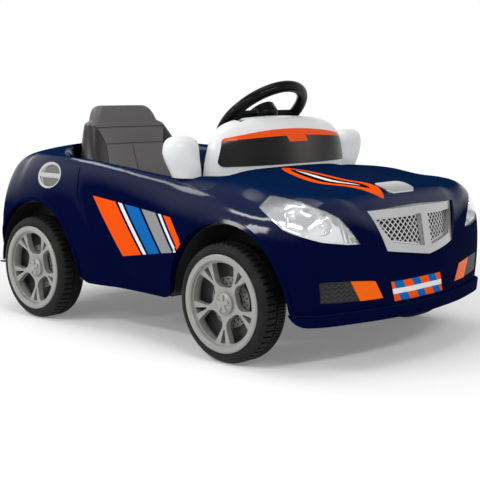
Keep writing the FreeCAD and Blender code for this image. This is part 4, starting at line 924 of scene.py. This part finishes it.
@dataclass
class Workshop:
    """The loaded frame, the palette and the few ways that pieces are made."""

    frame: dict[str, Any]
    palette: Palette = field(default_factory=Palette)
    weld: float = 0.00002

    def dress(self, finish: Finishes, nodes: Iterable[str]) -> None:
        """Gives CAD nodes a finish.

        Args:
            finish: The finish.
            nodes: The nodes' names.
        """
        for name in nodes:
            data = self.frame["nodes"][name].data
            data.materials.clear()
            data.materials.append(self.palette[finish])
            LOG.info("dressed %s in %s", name, finish.name)

    def piece(self, name: str, mesh: bpy.types.Mesh, body: str,
              finish: Finishes, replaces: Sequence[str] = ()) -> bpy.types.Object:
        """Puts a finished mesh on a body.

        Args:
            name: The piece's name.
            mesh: Its mesh, in the car's frame.
            body: The body that it moves with.
            finish: Its finish.
            replaces: CAD nodes that it stands for.

        Returns:
            The piece.
        """
        made = bpy.data.objects.new(name, mesh)
        bpy.context.scene.collection.objects.link(made)
        if not mesh.materials:
            mesh.materials.append(self.palette[finish])
        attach(made, body)
        if replaces:
            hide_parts(*replaces)
        LOG.info("made %s of %d faces", name, len(mesh.polygons))
        return made

    def replace(self, node: str, degrees: float, body: str, slot: str, finish: Finishes) -> None:
        """Puts a smooth copy in a node's place.

        Args:
            node: The CAD node.
            degrees: Edges sharper than this stay sharp.
            body: The body that it moves with.
            slot: The record's material slot; not used.
            finish: Its finish.
        """
        self.piece(node + "_skin", self.smooth_copy(node, degrees), body, finish, (node,))

    def smooth_copy(self, node: str, degrees: float) -> bpy.types.Mesh:
        """A copy of a node with its faces joined and shaded as one skin.

        Args:
            node: The CAD node.
            degrees: Edges sharper than this stay sharp.

        Returns:
            The new mesh.
        """
        source = self.frame["nodes"][node].data
        points = [tuple(v.co) for v in source.vertices]
        faces = [tuple(p.vertices) for p in source.polygons]
        mesh = bpy.data.meshes.new(node + "_skin")
        mesh.from_pydata(points, [], faces)
        work = bmesh.new()
        work.from_mesh(mesh)
        bmesh.ops.remove_doubles(work, verts=work.verts, dist=self.weld)
        work.to_mesh(mesh)
        work.free()
        mesh.shade_smooth()
        mesh.set_sharp_from_angle(angle=math.radians(degrees))
        return mesh


@dataclass
class BodyMoulding:
    """The one-piece body, its trim and its lamps."""

    crease: float = 32.0
    trim_crease: float = 30.0

    def build(self, shop: Workshop) -> None:
        """Makes the body's skin and what is set in it.

        Args:
            shop: The workshop.
        """
        skin = shop.smooth_copy("body_shell", self.crease)
        shop.piece("body_skin", skin, "chassis", Finishes.BODY, ("body_shell",))
        for node, finish, slot in (("filler_caps", Finishes.CAP, "silver_plastic"),
                                   ("headlamp_lenses", Finishes.LENS, "clear_lens"),
                                   ("headlamp_reflectors", Finishes.REFLECTOR, "bright_reflector"),
                                   ("tail_lamps", Finishes.RED, "red_lamp")):
            shop.replace(node, self.trim_crease, "chassis", slot, finish)
        shop.dress(Finishes.BLACK, ("fog_grilles", "grille_backing"))
        shop.dress(Finishes.ORANGE, ("marker_lamps",))
        shop.dress(Finishes.SILVER, ("grille_frame",))
        shop.dress(Finishes.BRIGHT, ("grille_mesh", "bonnet_badge"))


@dataclass
class FogMesh:
    """The zigzag mesh over the two fog lamp inserts."""

    pitch_across: float = 0.0130
    pitch_up: float = 0.0068
    strand: float = 0.0022
    depth: float = 0.0012
    slope: float = 38.0
    reach: float = 0.4

    def build(self, shop: Workshop) -> None:
        """Lays rows of zigzags on the inserts.

        Args:
            shop: The workshop.
        """
        low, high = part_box("fog_grilles")
        growth = Growth("fog_mesh")
        target = growth.input("Insert", "Object", shop.frame["nodes"]["fog_grilles"])
        size = growth.input("Strand", "Vector", (self.depth, self.length, self.strand))
        columns = growth.input("Columns", "Int", int((high[1] - low[1]) / self.pitch_across))
        rows = growth.input("Rows", "Int", int((high[2] - low[2]) / self.pitch_up))
        grid = growth.node("GeometryNodeMeshGrid", None, {
            "Size X": high[2] - low[2], "Size Y": high[1] - low[1],
            "Vertices X": rows, "Vertices Y": columns})
        stood = growth.node("GeometryNodeTransform", None, {
            "Geometry": grid.outputs["Mesh"], "Rotation": (0.0, math.radians(-90.0), 0.0),
            "Translation": (high[0] + self.pitch_across, (low[1] + high[1]) / 2, (low[2] + high[2]) / 2)})
        info = growth.node("GeometryNodeObjectInfo", {"transform_space": "ORIGINAL"}, {"Object": target})
        place = growth.node("GeometryNodeInputPosition")
        ray = growth.node("GeometryNodeRaycast", None, {
            "Target Geometry": info.outputs["Geometry"], "Source Position": place.outputs[0],
            "Ray Direction": (-1.0, 0.0, 0.0), "Ray Length": self.reach})
        facing = growth.node("FunctionNodeAlignRotationToVector", {"axis": "X", "pivot_axis": "Z"},
                             {"Vector": ray.outputs["Hit Normal"]})
        points = growth.node("GeometryNodeMeshToPoints", None, {
            "Mesh": stood.outputs["Geometry"], "Selection": ray.outputs["Is Hit"],
            "Position": ray.outputs["Hit Position"]})
        quarter = self.pitch_across / 4
        zigzag = growth.joined(growth.bar(size, self.slope, (0.0, -quarter, 0.0)),
                               growth.bar(size, -self.slope, (0.0, quarter, 0.0)))
        placed = growth.node("GeometryNodeInstanceOnPoints", None, {
            "Points": points.outputs[0], "Instance": zigzag, "Rotation": facing.outputs[0]})
        mesh = growth.mesh(placed.outputs[0], shop.palette[Finishes.MESH_BLACK])
        shop.piece("fog_mesh", mesh, "chassis", Finishes.MESH_BLACK)

    @property
    def length(self) -> float:
        """The length of one strand."""
        return self.pitch_across / 2 / math.cos(math.radians(self.slope)) + self.strand / 2


@dataclass
class Cockpit:
    """The dash cowl, mirrors, seat and controls."""

    crease: float = 35.0

    def build(self, shop: Workshop) -> None:
        """Makes the smooth mouldings and dresses the controls.

        Args:
            shop: The workshop.
        """
        for node, finish, slot in (("dash_cowl", Finishes.WHITE, "white_plastic"),
                                   ("left_mirror", Finishes.WHITE, "white_plastic"),
                                   ("right_mirror", Finishes.WHITE, "white_plastic"),
                                   ("windscreen_panel", Finishes.SCREEN, "screen_black"),
                                   ("seat_back", Finishes.SEAT, "seat_grey"),
                                   ("seat_base", Finishes.SEAT, "seat_grey")):
            shop.replace(node, self.crease, "chassis", slot, finish)
        shop.replace("steering_wheel", self.crease, "steering", "black_plastic", Finishes.GLOSS_BLACK)
        shop.replace("horn_button", self.crease, "horn", "black_plastic", Finishes.GLOSS_BLACK)
        shop.dress(Finishes.MIRROR, ("mirror_glasses",))
        shop.dress(Finishes.RED_ROCKER, ("direction_switch",))
        shop.dress(Finishes.BLACK, ("switch_bezel", "column_bush", "seat_riser", "drive_pedal", "pedal_lugs",
                                    "pedal_switch", "charge_socket"))


@dataclass
class Chassis:
    """The pan, steering gear, drive and wiring."""

    def build(self, shop: Workshop) -> None:
        """Dresses the pieces under the body.

        Args:
            shop: The workshop.
        """
        shop.dress(Finishes.BLACK, ("floor_pan", "gearbox", "axle_blocks", "battery", "battery_strap",
                                    "wiring_loom", "drive_dog", "column_bracket", "front_beam"))
        shop.dress(Finishes.STEEL, ("body_screws", "kingpins", "rear_axle", "switch_pin", "pedal_pin",
                                    "steering_column", "left_knuckle", "right_knuckle", "tie_rod", "motor"))


@dataclass
class RoadWheel:
    """One wheel: tyre, rim and hub cap."""

    corner: Corner
    crease: float = 30.0

    def build(self, shop: Workshop) -> None:
        """Makes the wheel's smooth pieces.

        Args:
            shop: The workshop.
        """
        name = self.corner.value
        shop.replace(name + "_tyre", self.crease, self.corner.body, "tyre_black", Finishes.TYRE)
        shop.replace(name + "_rim", self.crease, self.corner.body, "rim_silver", Finishes.RIM)
        shop.replace(name + "_hub_cap", self.crease, self.corner.body, "cap_silver", Finishes.RIM)


@dataclass
class WheelWell:
    """The dark lining of one wheel arch: a bent roof and an inner wall with room for the axle."""

    corner: Corner
    front_inner: float = 0.1835
    rear_inner: float = 0.2300
    front_notch: tuple[float, float] = (-0.030, 0.075)
    rear_notch: tuple[float, float] = (-0.043, 0.109)
    outer: float = 0.291
    gap: float = 0.0365
    thick: float = 0.003
    notch_rise: float = 0.057
    floor: float = 0.108
    ledge: float = 0.012
    steps: int = 36

    @property
    def inner(self) -> float:
        """How far out the inner wall stands."""
        return self.front_inner if self.corner.is_front else self.rear_inner

    @property
    def notch(self) -> tuple[float, float]:
        """The ends of the opening in the wall, from the axle."""
        return self.front_notch if self.corner.is_front else self.rear_notch

    @staticmethod
    def slab(work: bmesh.types.BMesh, outline: Sequence[tuple[float, float]],
             near: float, far: float) -> None:
        """Adds a block with an outline in X and Z.

        Args:
            work: The mesh to add to.
            outline: Its corners in order.
            near: Where it starts along Y.
            far: Where it ends along Y.
        """
        ends = [[work.verts.new((x, y, z)) for x, z in outline] for y in (near, far)]
        work.faces.new(ends[0])
        work.faces.new(ends[1][::-1])
        for here, there in zip(zip(*ends), zip(*(end[1:] + end[:1] for end in ends))):
            work.faces.new((there[0], here[0], here[1], there[1]))

    def arc(self, radius: float, x: float, z: float) -> list[tuple[float, float]]:
        """Points over the top of the wheel, from the back to the front."""
        turns = [math.pi * (1 - step / self.steps) for step in range(self.steps + 1)]
        return [(x + radius * math.cos(turn), z + radius * math.sin(turn)) for turn in turns]

    def build(self, shop: Workshop) -> None:
        """Makes the lining.

        Args:
            shop: The workshop.
        """
        low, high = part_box(self.corner.value + "_tyre")
        x, z = (low[0] + high[0]) / 2, (low[2] + high[2]) / 2
        radius = (high[2] - low[2]) / 2 + self.gap
        side = self.corner.side.value
        back, front = (x + way for way in self.notch)
        top = z + self.notch_rise
        roof = self.arc(radius, x, z) + self.arc(radius - self.thick, x, z)[::-1]
        wall = self.arc(radius, x, z)
        wall += [(x + radius, self.floor), (front, self.floor), (front, top),
                 (back, top), (back, self.floor), (x - radius, self.floor)]
        work = bmesh.new()
        self.slab(work, roof, side * (self.inner + self.thick), side * self.outer)
        self.slab(work, wall, side * self.inner, side * (self.inner + self.thick))
        for end in (x - radius - self.ledge, x + radius - self.thick):
            stop, rise = end + self.ledge + self.thick, self.floor + self.thick
            rim = [(end, self.floor), (stop, self.floor), (stop, rise), (end, rise)]
            self.slab(work, rim, side * (self.inner + self.thick), side * self.outer)
        bmesh.ops.recalc_face_normals(work, faces=work.faces)
        bmesh.ops.triangulate(work, faces=work.faces)
        mesh = bpy.data.meshes.new(self.corner.value + "_well")
        work.to_mesh(mesh)
        work.free()
        shop.piece(mesh.name, mesh, "chassis", Finishes.BLACK)


@dataclass(frozen=True)
class SoftBox:
    """A lamp: its place, the point that it faces, its width and height and its power in watts."""

    name: str
    spot: Point
    aim: Point
    size: tuple[float, float]
    power: float

    def hang(self) -> None:
        """Hangs the lamp."""
        data = bpy.data.lights.new(self.name, "AREA")
        data.shape = "RECTANGLE"
        data.size, data.size_y = self.size
        data.energy = self.power
        lamp = bpy.data.objects.new(self.name, data)
        bpy.context.scene.collection.objects.link(lamp)
        lamp.location = self.spot
        lamp.rotation_euler = (Vector(self.aim) - Vector(self.spot)).to_track_quat("-Z", "Y").to_euler()


@dataclass
class Studio:
    """Pale floor, soft light and the camera."""

    eye: Point = (1.6245, -1.6846, 0.5092)
    yaw: float = 133.65
    pitch: float = -8.05
    lens: float = 78.63
    sensor: float = 36.0
    floor_half: float = 14.0
    fade_middle: float = 0.95
    fade_width: float = 0.8
    near_glow: float = 0.18
    fill: float = 0.36
    horizon: float = 0.45
    horizon_width: float = 0.4
    bounce: Colour = (0.80, 0.80, 0.80)
    lamps: tuple[SoftBox, ...] = (
        SoftBox("overhead", (0.0, -0.2, 2.3), (0.0, 0.0, 0.2), (1.8, 1.0), 13.0),
        SoftBox("side_strip", (-0.1, -1.7, 1.5), (0.0, -0.2, 0.25), (2.0, 0.16), 13.0),
        SoftBox("front_strip", (2.0, -0.5, 1.4), (0.4, 0.0, 0.2), (1.4, 0.14), 15.0),
        SoftBox("rear_strip", (-1.8, -0.5, 1.9), (0.0, 0.0, 0.3), (1.6, 0.24), 7.0),
        SoftBox("wing_box", (-0.86, -1.75, 0.90), (0.33, -0.30, 0.265), (0.30, 0.24), 6.0),
    )

    def camera(self) -> None:
        """Puts the camera at the photograph's place."""
        data = bpy.data.cameras.new("camera")
        data.lens = self.lens
        data.sensor_width = self.sensor
        data.sensor_fit = "HORIZONTAL"
        camera = bpy.data.objects.new("camera", data)
        bpy.context.scene.collection.objects.link(camera)
        yaw, pitch = math.radians(self.yaw), math.radians(self.pitch)
        way = Vector((math.cos(yaw) * math.cos(pitch), math.sin(yaw) * math.cos(pitch), math.sin(pitch)))
        camera.location = self.eye
        camera.rotation_euler = way.to_track_quat("-Z", "Y").to_euler()
        bpy.context.scene.camera = camera

    @staticmethod
    def seen(recipe: Recipe) -> Sock:
        """A mask of the rays that show the backdrop.

        Args:
            recipe: The tree to add to.

        Returns:
            1 for camera, glossy and transmission rays.
        """
        path = recipe.node("ShaderNodeLightPath")
        camera = Sock(recipe, path.outputs["Is Camera Ray"])
        glossy = Sock(recipe, path.outputs["Is Glossy Ray"])
        return camera.most(glossy).most(Sock(recipe, path.outputs["Is Transmission Ray"]))

    def floor(self) -> None:
        """Lays the pale floor."""
        half = self.floor_half
        mesh = bpy.data.meshes.new("floor")
        corners = [(-half, -half, 0), (half, -half, 0), (half, half, 0), (-half, half, 0)]
        mesh.from_pydata(corners, [], [(0, 1, 2, 3)])
        floor = bpy.data.objects.new("floor", mesh)
        bpy.context.scene.collection.objects.link(floor)
        recipe = Recipe(bpy.data.materials.new("floor_white"))
        seen = self.seen(recipe)
        x, y, _ = recipe.place()
        away = (x * x + y * y) ** 0.5
        colour = recipe.mix(seen, self.bounce, WHITE)
        plain = recipe.node("ShaderNodeBsdfDiffuse", None, {"Color": colour})
        glow = recipe.node("ShaderNodeEmission", None, {"Color": WHITE, "Strength": 1.0})
        faded = away.over(self.fade_middle, self.fade_width)
        share = seen * (faded * (1.0 - self.near_glow) + self.near_glow)
        both = recipe.node("ShaderNodeMixShader", None, {0: share, 1: plain.outputs[0], 2: glow.outputs[0]})
        recipe.node("ShaderNodeOutputMaterial", None, {0: both.outputs[0]})
        mesh.materials.append(recipe.owner)

    def world(self) -> None:
        """Fills the room with plain pale light."""
        world = bpy.data.worlds.new("room")
        bpy.context.scene.world = world
        recipe = Recipe(world)
        _, _, height = recipe.parts(recipe.out("ShaderNodeTexCoord", place="Generated"))
        horizon = (self.horizon - height).over(0.0, self.horizon_width)
        strength = self.seen(recipe) * horizon * (1.0 - self.fill) + self.fill
        glow = recipe.node("ShaderNodeBackground", None, {"Color": WHITE, "Strength": strength})
        recipe.node("ShaderNodeOutputWorld", None, {0: glow.outputs[0]})

    def build(self) -> None:
        """Sets up the whole studio."""
        self.camera()
        self.floor()
        self.world()
        for lamp in self.lamps:
            lamp.hang()
        bpy.context.scene.view_settings.view_transform = "Standard"


def main() -> None:
    """Builds every sub-assembly in order and reports it."""
    logging.basicConfig(level=logging.INFO, format="%(name)s: %(message)s")
    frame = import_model()
    Studio().build()
    shop = Workshop(frame)
    BodyMoulding().build(shop)
    FogMesh().build(shop)
    Cockpit().build(shop)
    Chassis().build(shop)
    for corner in Corner:
        RoadWheel(corner).build(shop)
        WheelWell(corner).build(shop)


if __name__ == "__main__":
    main()
